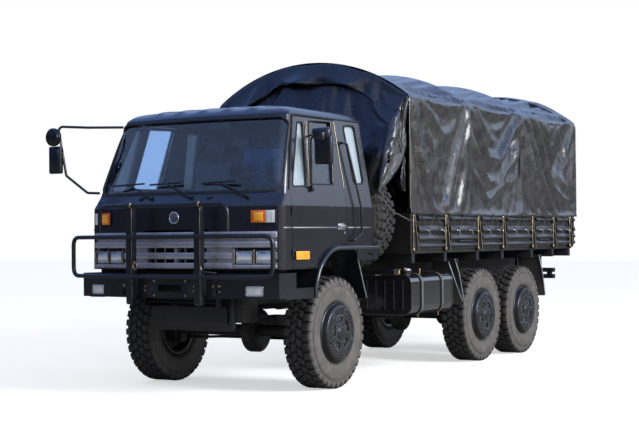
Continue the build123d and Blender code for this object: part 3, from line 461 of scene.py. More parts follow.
# Each finish: its slot, its deep and light tone, its gloss and its other looks
FINISHES = {
    "body_paint": ("body_paint", (0.0095, 0.0105, 0.0145), (0.014, 0.015, 0.0195), (0.2, 0.32),
                   dict(patch=1.2, grain=240, relief=0.00012, edge=0.006, dust=(1.35, 0.12), coat=0.3)),
    "bed_paint": ("bed_paint", (0.012, 0.0115, 0.011), (0.021, 0.02, 0.019), (0.24, 0.4),
                  dict(patch=2.4, grain=200, edge=0.004, dust=(1.5, 0.15), coat=0.2)),
    "frame_paint": ("chassis_paint", (0.006, 0.006, 0.007), (0.012, 0.0115, 0.011), (0.45, 0.65),
                    dict(patch=4, grain=130, relief=0.0004, edge=0.003, dust=(1.0, 0.16))),
    "guard_paint": ("guard_paint", (0.006, 0.007, 0.01), (0.011, 0.012, 0.016), (0.24, 0.38),
                    dict(patch=3, grain=180, edge=0.004, dust=(0.9, 0.12))),
    "cast_iron": ("cast_iron", (0.012, 0.011, 0.01), (0.026, 0.024, 0.022), (0.55, 0.75),
                  dict(metallic=0.4, patch=6, grain=70, relief=0.001, edge=0.004, dust=(1.0, 0.25))),
    "grille_silver": ("grille_silver", (0.36, 0.37, 0.42), (0.47, 0.48, 0.53), (0.22, 0.34),
                      dict(metallic=0.45, patch=3, grain=260, relief=0.0001, edge=0.003)),
    "bright_trim": ("grille_silver", (0.62, 0.62, 0.62), (0.8, 0.79, 0.77), (0.12, 0.22),
                    dict(metallic=1, patch=5, grain=300, relief=0.00005)),
    "brass": ("guard_paint", (0.34, 0.25, 0.13), (0.56, 0.42, 0.24), (0.28, 0.45),
              dict(metallic=1, patch=20, grain=300, relief=0.0001)),
    # A pale warm metal for strips and rods whose paleness is mostly a painted highlight of the edges they run along
    "pale_trim_and_highlight": ("grille_silver", (0.28, 0.23, 0.16), (0.44, 0.37, 0.27), (0.25, 0.4),
                  dict(metallic=0.7, patch=6, grain=200, relief=0.0001)),
    "zinc": ("bed_paint", (0.35, 0.36, 0.39), (0.55, 0.57, 0.62), (0.25, 0.4),
             dict(metallic=0.9, patch=15, grain=200, relief=0.0001)),
    "rubber": ("guard_paint", (0.01, 0.01, 0.011), (0.017, 0.017, 0.018), (0.5, 0.66), dict(patch=7, grain=220)),
    "flap_rubber": ("flap_rubber", (0.014, 0.014, 0.015), (0.03, 0.028, 0.027), (0.55, 0.75),
                    dict(patch=5, grain=120, relief=0.0005, dust=(1.3, 0.7))),
    "wheel_paint": ("wheel_paint", (0.0045, 0.0045, 0.0055), (0.0095, 0.0095, 0.0105), (0.3, 0.46),
                    dict(patch=6, grain=150, relief=0.0003, dust=(1.2, 0.04), coat=0.15)),
    "tyre_black": ("tyre_rubber", (0.012, 0.012, 0.014), (0.022, 0.021, 0.021), (0.62, 0.85),
                   dict(patch=9, grain=160, relief=0.0006, specular=0.35, made_of=dust_and_shade)),
    "tank_paint": ("bed_paint", (0.01, 0.01, 0.011), (0.016, 0.0155, 0.0155), (0.12, 0.24),
                   dict(patch=2, grain=150, relief=0.0001, dust=(1.2, 0.08), coat=0.8)),
    "strap_paint": ("bed_paint", (0.085, 0.09, 0.08), (0.13, 0.135, 0.12), (0.45, 0.6), dict(patch=8, grain=200)),
    # The head lamps' lens finish is a painted reflection: grey, white and blue bands up the lens
    "head_lens": ("clear_lens", (0.34, 0.37, 0.43), (0.05, 0.08, 0.16), (0.05, 0.1),
                  dict(patch=16, grain=120, relief=0.0012, coat=1, made_of=painted_reflection_bands)),
    "dash_plastic": ("dash_plastic", (0.02, 0.022, 0.026), (0.032, 0.034, 0.038), (0.45, 0.6),
                     dict(patch=3, grain=350, relief=0.0003, edge=0.006)),
    "seat_cover": ("seat_cover", (0.1, 0.115, 0.14), (0.15, 0.165, 0.19), (0.55, 0.75),
                   dict(patch=6, grain=500, relief=0.0004)),
    "rope_fibre": ("canopy_cloth", (0.045, 0.04, 0.034), (0.11, 0.098, 0.08), (0.7, 0.9),
                   dict(patch=40, grain=500, relief=0.0006)),
    "window_glass": ("window_glass", (0.52, 0.68, 0.93), (0.5044, 0.6596, 0.9021), (0.02, 0.04),
                     dict(grain=3, relief=0, clearness=1)),
    # Painted sky: a pale, only partly clear glass for the side panes
    "sky_painted_glass": ("window_glass", (0.52, 0.62, 0.68), (0.5044, 0.6014, 0.6596), (0.05, 0.07),
                   dict(grain=3, relief=0, clearness=0.35)),
    "reflector": ("clear_lens", (0.8, 0.82, 0.85), (0.9, 0.91, 0.92), (0.05, 0.1),
                  dict(metallic=1, patch=8, grain=100)),
    "mirror_glass": ("window_glass", (0.82, 0.85, 0.88), (0.86, 0.88, 0.9), (0.01, 0.02),
                     dict(metallic=1, patch=2, grain=5, relief=0)),
}
# shaded_cloth is the canopy's cloth painted darker, a painted shade for the front valance, the curtain and the
# bunched folds
for cloth_name, deep, light in (("canopy_cloth", (0.012, 0.012, 0.0135), (0.046, 0.044, 0.042)),
                                ("shaded_cloth", (0.003, 0.0035, 0.005), (0.009, 0.0095, 0.012))):
    FINISHES[cloth_name] = ("canopy_cloth", deep, light, (0.24, 0.42),
                            dict(patch=8, grain=900, relief=0.0001, coat=0.45, coat_gloss=0.13, made_of=crinkled))
for lens_name, lens_slot, deep, light in (("amber_bright", "amber_lens", (1.0, 0.4, 0.03), (1.0, 0.52, 0.05)),
                                          ("amber_lens", "amber_lens", (0.62, 0.11, 0.008), (0.78, 0.17, 0.012)),
                                          ("red_lens", "red_lens", (0.5, 0.015, 0.01), (0.62, 0.03, 0.02)),
                                          ("lens_white", "clear_lens", (0.62, 0.66, 0.72), (0.8, 0.83, 0.87))):
    FINISHES[lens_name] = (lens_slot, deep, light, (0.1, 0.16), dict(patch=12, grain=120, relief=0.0012, coat=0.5))
finishes = {name: surface(name, *tones, **looks) for name, (slot, *tones, looks) in FINISHES.items()}

NODE_FINISHES = {
    "frame_paint": "frame_rails leaf_springs front_axle rear_axles track_rod radiator spare_carrier bed_floor "
                   "canopy_bows",
    "cast_iron": "knuckle_left knuckle_right engine driveline exhaust", "tank_paint": "fuel_tank",
    "bed_paint": "battery_box bed_sides tailgate", "flap_rubber": "rear_mudguards",
    "guard_paint": "bumper brush_guard mirrors flares", "body_paint": "cab_shell door_left door_right",
    "window_glass": "cab_glass door_glass_left door_glass_right", "grille_silver": "grille",
    "rubber": "head_lamps turn_signals wipers tail_lamps", "dash_plastic": "dashboard", "seat_cover": "seats",
    "canopy_cloth": "canopy front_curtain",
}
for finish_name, node_names in NODE_FINISHES.items():
    for node_name in node_names.split():
        paint(nodes[node_name], finish_name)
# The rear side windows and the quarter lights get a pale, half-clear glass, a painted stand-in for the bright sky
# seen through them
for node_name, low_x, high_x in (("cab_glass", -0.62, 0.0), ("door_glass_left", 0.461, 1.0),
                                 ("door_glass_right", 0.461, 1.0)):
    panes = nodes[node_name].data
    panes.materials.append(finishes["sky_painted_glass"])
    for face in panes.polygons:
        inside = low_x < face.center.x - FRONT_AXLE_X < high_x
        face.material_index = int(inside and abs(face.center.y) > 0.9)


# Camera, floor and light

def set_camera():
    """The camera where the photographer stood, ahead and to the truck's left."""
    yaw, pitch, roll = 3.6789, 0.0155, -0.0096
    ahead = Vector((math.cos(pitch) * math.cos(yaw), math.cos(pitch) * math.sin(yaw), math.sin(pitch)))
    level = Vector((math.sin(yaw), -math.cos(yaw), 0))
    above = level.cross(ahead)
    right = math.cos(roll) * level + math.sin(roll) * above
    up = math.cos(roll) * above - math.sin(roll) * level
    data = bpy.data.cameras.new("photo_camera")
    data.sensor_width, data.lens, data.clip_end = 36, 80.57, 200
    camera = added("photo_camera", data)
    turned = Matrix((right, up, -ahead)).transposed().to_4x4()
    camera.matrix_world = Matrix.Translation((14.6855, 8.2066, 1.5185)) @ turned
    bpy.context.scene.camera = camera


def set_world():
    """A white surround that lights the truck as an open sky over dark and pale ground does."""
    bpy.context.scene.view_settings.view_transform = "Standard"
    world = bpy.data.worlds.new("studio")
    bpy.context.scene.world = world
    world.use_nodes = True
    tree = world.node_tree
    rays = add(tree, "LightPath").outputs
    where = add(tree, "SeparateXYZ", {0: add(tree, "TexCoord").outputs["Generated"]}).outputs

    def blend(value, start, end, low, high):
        return mixed(tree, spread(tree, value, start, end, interpolation_type="SMOOTHSTEP"), low, high)

    phase = maths(tree, "MULTIPLY_ADD", where["Z"], 5.0, 7.34)
    screens = maths(tree, "SINE", maths(tree, "MULTIPLY_ADD", where["X"], 10.0, phase))
    left_side = blend(screens, -0.35, 0.85, (0.16, 0.15, 0.145), (1.2, 1.15, 1.08))
    left_side = blend(where["Z"], 0.09, 0.27, left_side, (1.75, 1.92, 2.2))
    round_sky = blend(where["Y"], -0.1, 0.5, (0.014, 0.022, 0.06), left_side)
    overhead = blend(where["X"], -0.8, -0.36, (0.72, 1.02, 1.75), (0.22, 0.4, 1.0))
    sky = blend(where["Z"], 0.02, 0.62, round_sky, overhead)
    lit = mixed(tree, rays["Is Diffuse Ray"], sky, (0.46, 0.48, 0.52))
    seen = maths(tree, "MAXIMUM", rays["Is Camera Ray"], rays["Is Transmission Ray"])
    wire(tree, tree.nodes["Background"], {"Color": mixed(tree, seen, lit, (1.0, 1.0, 1.0)), "Strength": 1.0})


def set_stage():
    """A plain pale floor under soft light."""
    deselect()
    bpy.ops.mesh.primitive_plane_add(size=120, location=(0, 0, 0))
    floor = bpy.context.object
    floor.name = "floor"
    material = bpy.data.materials.new("floor_white")
    material.use_nodes = True
    tree = material.node_tree
    seen = add(tree, "LightPath").outputs["Is Camera Ray"]
    wire(tree, tree.nodes["Principled BSDF"], {
        "Roughness": 0.9, "Specular IOR Level": 0.0, "Emission Color": (1.0, 1.0, 1.0, 1),
        "Emission Strength": maths(tree, "MULTIPLY", seen, 0.55),
        "Base Color": mixed(tree, seen, (0.4, 0.39, 0.38), (0.8, 0.8, 0.8))})
    floor.data.materials.append(material)
    for name, place, target, size, power in (("key", (2, 14, 8), (0, 0, 1.3), 5.5, 2300),
                                             ("fill", (13, 2, 9), (1, 0, 1.5), 7.0, 70)):
        data = bpy.data.lights.new(name, "AREA")
        data.size, data.energy = size, power
        lamp = added(name, data)
        lamp.location = place
        lamp.rotation_euler = (Vector(target) - Vector(place)).to_track_quat("-Z", "Y").to_euler()


set_camera()
set_world()
set_stage()


# Tyres and wheels, modelled about the Y axis at the origin

PITCHES = 36
AXIS_X = -FRONT_AXLE_X
# The wall from bead to bead: y outwards from the tyre's middle, then radius
WALL = ((0.117, 0.256), (0.117, 0.284), (0.129, 0.295), (0.139, 0.312), (0.147, 0.335), (0.1545, 0.365),
        (0.1595, 0.395), (0.16, 0.425), (0.1575, 0.45), (0.156, 0.456), (0.158, 0.459), (0.157, 0.464),
        (0.1535, 0.467), (0.1545, 0.471), (0.1515, 0.474), (0.152, 0.478), (0.149, 0.481), (0.147, 0.495),
        (0.14, 0.515), (0.129, 0.529), (0.06, 0.5355), (0.0, 0.5365))
CHEVRON = ((-0.049, 0.004), (0.023, 0.004), (0.049, 0.064), (-0.021, 0.064))
LUG = ((0.074, 0.532), (0.074, 0.554), (0.128, 0.5535), (0.14, 0.546), (0.1475, 0.53), (0.1545, 0.492),
       (0.147, 0.486), (0.136, 0.505), (0.125, 0.525))


def clamp(value):
    return min(1.0, max(0.0, value))


def model_tyre():
    """One tyre: a carcass with wall ribs, chevron blocks and deep shoulder lugs."""
    carcass = soften(spun(list(WALL) + [(-y, radius) for y, radius in reversed(WALL[:-1])], 72), 0)
    pieces = []
    for side, turn in ((1, 0.0), (-1, math.pi / PITCHES)):
        chevron = plate([(x + AXIS_X, side * y, 0.532) for x, y in CHEVRON], (0, 0, 0.0205), 0.003)
        lug = plate([(AXIS_X - 0.031, side * y, z) for y, z in LUG], (0.062, 0, 0), 0.003)
        chevron.data.transform(Matrix.Rotation(turn, 4, "Y"))
        lug.data.transform(Matrix.Rotation(turn + 0.078, 4, "Y"))
        pieces += [chevron, lug]
    tyre = joined([carcass, round_axle(joined(pieces), PITCHES)])
    # The attribute read by the tyre's finish: dust on the walls, less near the bead and on the wall ribs, with the
    # lug tips paler as painted highlight and the tread and grooves left dark as painted shade
    values = []
    for vertex in tyre.data.vertices:
        radius = math.hypot(vertex.co.x, vertex.co.z)
        wall_share = clamp((abs(vertex.co.y) - 0.134) / 0.01) * clamp((0.545 - radius) / 0.02)
        wall_share *= 0.7 if radius < 0.315 or 0.452 < radius < 0.476 else 1.0
        values.append(max(wall_share, 0.22 if radius > 0.5515 else 0.04))
    tyre.data.attributes.new("dust_and_shade", "FLOAT", "POINT").data.foreach_set("value", values)
    return tyre


# The rim and disc: y outwards from the tyre's middle, then radius
RIM = ((0.182, 0.04), (0.182, 0.238), (-0.13, 0.238), (-0.137, 0.262), (-0.136, 0.28), (-0.129, 0.289),
       (-0.121, 0.288), (-0.117, 0.28), (-0.115, 0.257), (0.11, 0.257), (0.116, 0.268), (0.117, 0.283),
       (0.124, 0.291), (0.133, 0.29), (0.137, 0.281), (0.146, 0.2775), (0.18, 0.2745), (0.189, 0.269), (0.1935, 0.26),
       (0.1935, 0.236), (0.1935, 0.214), (0.1935, 0.192), (0.1935, 0.164), (0.1935, 0.13), (0.1935, 0.1),
       (0.1935, 0.078), (0.1935, 0.064), (0.2, 0.06), (0.2035, 0.052), (0.2045, 0.04))
DRUM = ((-0.038, 0.195), (-0.038, 0.215), (0.07, 0.215), (0.07, 0.2), (0.02, 0.195), (0.02, 0.09), (0.15, 0.09),
        (0.15, 0.04), (0.01, 0.04), (0.01, 0.195))
# Slots and holes in the disc: share of a pitch they are turned by, inner and outer radius, half angle, depth
OPENINGS = ((0.5, 0.1, 0.17, 24.5, 0.045), (0.0, 0.214, 0.236, 3.2, 0.03))


def model_wheel():
    """One wheel: a deep rim and a flat disc with five kidney slots and small holes between them."""
    disc = spun(RIM, 60, close=False)
    pitch = math.tau / 5
    for shift, inner, outer, half_angle, depth in OPENINGS:
        def wanted(centre, normal):
            angle = (math.atan2(centre.x, centre.z) + pitch * shift) % pitch - pitch / 2
            within = abs(angle) < math.radians(half_angle)
            return normal.y > 0.9 and inner < math.hypot(centre.x, centre.z) < outer and within

        select_faces(disc, wanted)
        bpy.ops.mesh.inset(thickness=0.003)
        draw_out((0, -depth, 0))
        mode("OBJECT")
    soften(disc, 0.0035, 2, 35)
    drum = soften(spun(DRUM, 48), 0)
    cap = rod((AXIS_X, 0.15, 0), (AXIS_X, 0.2045, 0), 0.0405, 32, 0.004)
    button = rod((AXIS_X, 0.2, 0), (AXIS_X, 0.2075, 0), 0.018, 24, 0.002)
    return joined([disc, drum, cap, button])


def model_nuts():
    """The ten wheel nuts that show in the slots."""
    nut = rod((AXIS_X, 0.14, 0.133), (AXIS_X, 0.178, 0.133), 0.015, 6, 0.002)
    stud = rod((AXIS_X, 0.15, 0.133), (AXIS_X, 0.187, 0.133), 0.0075, 12, 0.001)
    return round_axle(joined([nut, stud]), 10)


tyre_model, wheel_model, nut_model = model_tyre(), model_wheel(), model_nuts()
for axle_name, axle_x in AXLES:
    for side_name, side in SIDES:
        turn = Matrix.Rotation(math.radians(13 * axle_x * side + 7), 4, "Y")
        place = Matrix.Translation(at(axle_x, side * WHEEL_CENTRE_Y, AXLE_Z)) @ (turn if side > 0 else MIRROR @ turn)
        end = f"{axle_name}_{side_name}"
        fit(copied(tyre_model, place), f"road_tyre_{end}", "tyre_black", f"tyre_{end}", body=f"wheel_{end}")
        fit(copied(wheel_model, place), f"road_wheel_{end}", "wheel_paint", f"rim_{end}", body=f"wheel_{end}")
        fit(copied(nut_model, place), f"wheel_nuts_{end}", "brass", slot="wheel_paint", body=f"wheel_{end}")
upright = Matrix.Translation(at(*SPARE_CENTRE)) @ Matrix.Rotation(math.radians(90), 4, "Z")
fit(copied(tyre_model, upright), "road_tyre_spare", "tyre_black", "spare_tyre")
fit(copied(wheel_model, upright), "road_wheel_spare", "wheel_paint", "spare_rim")
for model in (tyre_model, wheel_model, nut_model):
    bpy.data.objects.remove(model)


# Pieces on the cab's nose

def rounded(corners, radius, run=0.08):
    """A flat outline with rounded corners and points all along its runs."""
    count, points = len(corners), []
    for number, corner in enumerate(corners):
        corner = Vector(corner)
        back = (Vector(corners[number - 1]) - corner).normalized()
        ahead = (Vector(corners[(number + 1) % count]) - corner).normalized()
        half = back.angle(ahead) / 2
        middle = corner + (back + ahead).normalized() * radius / math.sin(half)
        start = corner + back * radius / math.tan(half) - middle
        end = corner + ahead * radius / math.tan(half) - middle
        points += [middle + start.lerp(end, step / 6).normalized() * radius for step in range(7)]
    dense = []
    for before, point in zip(points, points[1:] + points[:1]):
        steps = int((point - before).length / run)
        dense += [before.lerp(point, step / (steps + 1)) for step in range(steps + 1)]
    return dense


def box_outline(low, high, radius):
    """A rounded rectangle between two flat corners."""
    return rounded((low, (high[0], low[1]), high, (low[0], high[1])), radius)


def bowed(ys, zs, proud, depth, edge=0.002):
    """A bar along the bowed nose between two y and two z, standing proud of it."""
    count = max(2, int((ys[1] - ys[0]) / 0.06))
    places = [ys[0] + (ys[1] - ys[0]) * step / count for step in range(count + 1)]
    front = [nose_point(y, zs[0], proud) for y in places]
    back = [nose_point(y, zs[0], proud - depth) for y in reversed(places)]
    return plate(front + back, at(*nose_point(places[0], zs[1])) - at(*nose_point(places[0], zs[0])), edge)


def frame_round(ys, zs, proud, depth, width):
    """A bezel round a lamp on the nose."""
    (left, right), (foot, top) = (ys[0] - width, ys[1] + width), zs
    sides = (((left, ys[0]), zs), ((ys[1], right), zs), ((left, right), (top, top + width)),
             ((left, right), (foot - width, foot)))
    return joined([bowed(*side, proud, depth) for side in sides])


screen_outline = rounded(WINDSCREEN, 0.09)
fit(tube([nose_point(y, z, 0.001) for y, z in screen_outline], 0.014, 0, True), "windscreen_seal", "rubber")
# A thin pale lip inside the seal, a painted highlight along its edge
screen_lip = [nose_point(y * 1.006, z + (0.005 if z > 2.3 else -0.005), 0.01) for y, z in screen_outline]
fit(tube(screen_lip, 0.0022, 0, True), "windscreen_highlight_lip", "strap_paint", slot="grille_silver")

LOW_GAP, HIGH_GAP = (1.267, 1.302), (1.365, 1.409)
GAP_STRIPS = (((-1.075, 1.075), (1.466, 1.5)), ((0.365, 0.645), LOW_GAP), ((-0.645, -0.365), LOW_GAP),
              ((0.365, 0.645), HIGH_GAP), ((-0.645, -0.365), HIGH_GAP))
strips = [bowed(ys, zs, -0.016, 0.012, 0) for ys, zs in GAP_STRIPS]
strips += [bowed((y - 0.003, y + 0.003), zs, -0.008, 0.02, 0)
           for zs in (LOW_GAP, HIGH_GAP) for y in (-0.24, -0.12, 0.0, 0.12, 0.24)]
fit(strips, "grille_back", "grille_silver")

LAMP_ZS, LAMP_HALF_WIDTH = (1.268, 1.368), 0.072
bezels, bowls, lenses = [], [], []
for middle in (0.76, 0.96):
    ys = (middle - LAMP_HALF_WIDTH, middle + LAMP_HALF_WIDTH)
    bezels.append(frame_round(ys, LAMP_ZS, 0.004, 0.016, 0.009))
    bowl = bowed(ys, LAMP_ZS, -0.002, 0.01, 0)
    select_faces(bowl, lambda centre, normal: normal.x > 0.7)
    for thickness, depth in ((0.01, 0.0), (0.016, -0.022), (0.014, 0.01)):
        bpy.ops.mesh.inset(thickness=thickness, depth=depth)
    mode("OBJECT")
    bowls.append(soften(bowl, 0.003))
    lens = bowed(ys, LAMP_ZS, 0.003, 0.004, 0.001)
    flute_ys = [ys[0] + 2 * LAMP_HALF_WIDTH * step / 7 for step in range(1, 7)]
    flutes = [bowed((y - 0.003, y + 0.003), (1.274, 1.362), 0.005, 0.003, 0) for y in flute_ys]
    lenses.append(joined([lens] + flutes))
uprights = [bowed((y - 0.006, y + 0.006), (1.25, 1.392), 0.012, 0.02) for y in (0.66, 0.86, 1.06)]
fit(pair(bezels), "head_lamp_bezels", "bright_trim")
fit(pair(uprights), "head_lamp_uprights", "pale_trim_and_highlight")
fit(pair(bowls), "head_lamp_bowls", "reflector")
fit(pair(lenses), "head_lamp_lenses", "head_lens")

SIGNAL_ZS = (1.641, 1.756)
amber = bowed((0.838, 0.978), SIGNAL_ZS, 0.019, 0.008)
amber_middle = bowed((0.868, 0.956), (1.656, 1.738), 0.022, 0.006, 0.004)
clear = [bowed((0.982, 1.066), SIGNAL_ZS, 0.019, 0.008)]
clear += [bowed((1.003 + 0.02 * step, 1.009 + 0.02 * step), (1.65, 1.747), 0.022, 0.004, 0) for step in range(3)]
fit(pair(amber), "turn_signal_amber", "amber_lens")
fit(pair(amber_middle), "turn_signal_middle", "amber_bright")
fit(pair(clear), "turn_signal_clear", "lens_white")
fit(pair(frame_round((0.838, 1.066), SIGNAL_ZS, 0.016, 0.008, 0.008)), "turn_signal_bezels", "rubber")

badge = spun(((0.0, 0.0), (0.0, 0.047), (-0.006, 0.05), (-0.006, 0.0)), 40, close=False)
badge = soften(joined([badge, ring(0.054, 0.006, 0.006, 10, 40, -0.001)]), 0)
badge.data.transform(Matrix.Translation(at(*nose_point(0, 1.697, 0.006)))
                     @ Matrix.Rotation(math.radians(-90), 4, "Z"))
fit(badge, "round_badge", "bright_trim")

nozzles = [rod(nose_point(y, 1.885, -0.01), nose_point(y, 1.893, 0.022), 0.009) for y in (0.335, -0.484)]
nozzles += [tube([nose_point(y, 1.872, 0.002), nose_point(y + 0.02, 1.885, 0.012),
                  nose_point(y + 0.055, 1.896, 0.004)], 0.006, 0.02) for y in (0.335, -0.484)]
fit(nozzles, "washer_nozzles", "rubber")
fit([rod((x - 0.012, y, 1.893), (x + 0.02, y, 1.905), 0.021, 20, 0.006)
     for y, x in ((0.756, 1.06), (0.147, 1.112), (-0.336, 1.102))], "wiper_caps", "guard_paint")


# Bumper and brush guard

def bumper_x(y):
    """The x of the bumper's front face."""
    y = abs(y)
    if y < 0.4:
        return 1.262
    return 1.262 - 0.052 * (y - 0.4) / 0.5 if y < 0.9 else 1.21 - 0.07 * (y - 0.9) / 0.26


def bolt(x, y, z, radius=0.011):
    """A bolt head with its washer, facing forward."""
    washer = rod((x - 0.002, y, z), (x + 0.003, y, z), radius * 1.35, 16, 0.0008)
    return joined([washer, rod((x + 0.002, y, z), (x + 0.012, y, z), radius, 6, 0.0015)])


fit(pair([bolt(bumper_x(y), y, z) for y in (0.495, 0.56) for z in (0.995, 1.05)]), "bumper_bolts", "brass")
fit(pair([bolt(bumper_x(0.185), 0.185, z, 0.008) for z in (0.958, 1.095)]),
    "bumper_studs", "zinc", slot="guard_paint")
fit(block((0.985, -1.05, 1.13), (0.997, 1.05, 1.262)), "nose_backing", "frame_paint")
lens_outline = ((0.846, 0), (1.004, 0), (1.004, 0.03), (0.846, 0.03))
fit(pair(plate([(bumper_x(y) - 0.003 - back, y, 0.966) for y, back in lens_outline], (0, 0, 0.078), 0.004)),
    "bumper_lamp_lenses", "lens_white")
rim_outline = box_outline((0.843, 0.962), (1.007, 1.048), 0.012)
fit(pair(tube([(bumper_x(y) + 0.001, y, z) for y, z in rim_outline], 0.0045, 0, True)),
    "bumper_lamp_rims", "bright_trim")
fit(pair(rod((1.235, 0.264, 1.03), (1.2645, 0.264, 1.03), 0.064, 36, 0.004)), "bumper_plugs", "rubber")
fit(pair([bolt(1.264, 0.29, z, 0.009) for z in (1.006, 1.046)]), "plug_bolts", "brass")
GRILLE_RUNS = (((-0.64, 0.64), (1.212, 1.267)), ((0.645, 1.083), (1.212, 1.248)), ((-1.083, -0.645), (1.212, 1.248)),
               ((-0.64, 0.64), (1.302, 1.365)), ((-1.083, 1.083), (1.409, 1.466)), ((-1.083, 1.083), (1.5, 1.56)))
fit([bowed(ys, zs, 0.01, 0.026, 0.01) for ys, zs in GRILLE_RUNS], "grille_bars", "grille_silver")

UPRIGHTS = (0.401, -0.401)
GUARD_X, HOOP_Z = 1.378, 1.817
guard_parts = []
for y in UPRIGHTS:
    post_outline = box_outline((1.298, 0.87), (1.375, 1.85), 0.025)
    guard_parts += [plate([(x, y - 0.035, z) for x, z in post_outline], (0, 0.07, 0), 0.003),
                    block((1.262, y - 0.035, 0.96), (1.299, y + 0.035, 1.14))]
ring_ends = [(GUARD_X, 0.78, 1.518), (1.272, 1.174, 1.518), (1.272, 1.174, 1.14), (GUARD_X, 0.78, 1.14)]
guard_parts.append(tube(ring_ends + [(x, -y, z) for x, y, z in reversed(ring_ends)], 0.021, 0.17, True))
hoop = tube([(GUARD_X, y, z) for y, z in ((0.75, 1.36), (0.75, HOOP_Z), (-0.75, HOOP_Z), (-0.75, 1.36))], 0.021, 0.19)
select_faces(hoop, lambda centre, normal: centre.z < 1.518)
bpy.ops.mesh.delete(type="FACE")
mode("OBJECT")
fit(guard_parts + [hoop], "guard", "guard_paint", "brush_guard")
fit([rod((GUARD_X, y - 0.032, HOOP_Z), (GUARD_X, y + 0.032, HOOP_Z), 0.027, 24, 0.004) for y in UPRIGHTS],
    "guard_collars", "rubber")
rings = [rod((GUARD_X, y - 0.006, HOOP_Z), (GUARD_X, y + 0.006, HOOP_Z), 0.03, 24, 0.002) for y in (0.436, -0.366)]
shackle = soften(ring(0.034, 0.007, 0.007, 10, 28), 0)
shackle.data.transform(Matrix.Translation(at(1.385, -0.318, 1.24)) @ Matrix.Rotation(math.radians(70), 4, "Z"))
rings += [shackle, rod((1.365, -0.345, 1.276), (1.395, -0.315, 1.276), 0.008),
          tube([(1.372, 0.44, 1.25), (1.39, 0.452, 1.235), (1.39, 0.462, 1.205), (1.376, 0.446, 1.19)], 0.006, 0.02)]
fit(rings, "guard_rings", "brass")
# Thin pale strips on the uprights' outer corners, a painted highlight along their edges
fit([block((1.3735, y + 0.0335, 0.93), (1.3765, y + 0.0365, 1.79), 0.001) for y in UPRIGHTS],
    "guard_edge_highlights", "pale_trim_and_highlight", slot="guard_paint")
fit(tube([(1.3, 0.3, 1.17), (1.285, 0.34, 1.2), (1.29, 0.4, 1.185), (1.28, 0.55, 1.175)], 0.007, 0.03),
    "guard_rope", "rope_fibre")


# Cab sides and roof

def along_side(points, radius, side, proud=0.0, closed=False):
    """A strip that follows the cab's side through x, z points."""
    return tube([side_point(x, z, side, proud) for x, z in points], radius, 0, closed)


# Painted highlights along the door's edges, pale strips where light catches them: the strip's radius, how proud it
# stands, then its x, z points
DOOR_HIGHLIGHTS = ((0.0035, 0.005, (0.497, 2.0), (0.366, 2.632)), (0.0028, 0.004, (0.517, 2.0), (0.386, 2.632)),
              (0.005, 0.003, (-0.172, 1.99), (-0.172, 2.33), (-0.172, 2.655)),
              (0.0025, 0.004, (0.028, 2.03), (-0.108, 2.64)))
# The handle's blocks: x from and to, how far out from and to, z from and to, edge
HANDLE = ((-0.147, 0.003, -0.002, 0.004, 1.572, 1.631, 0.006), (-0.14, -0.01, 0.012, 0.024, 1.594, 1.612, 0.005),
          (-0.03, -0.012, 0.0, 0.022, 1.59, 1.616, 0.004))
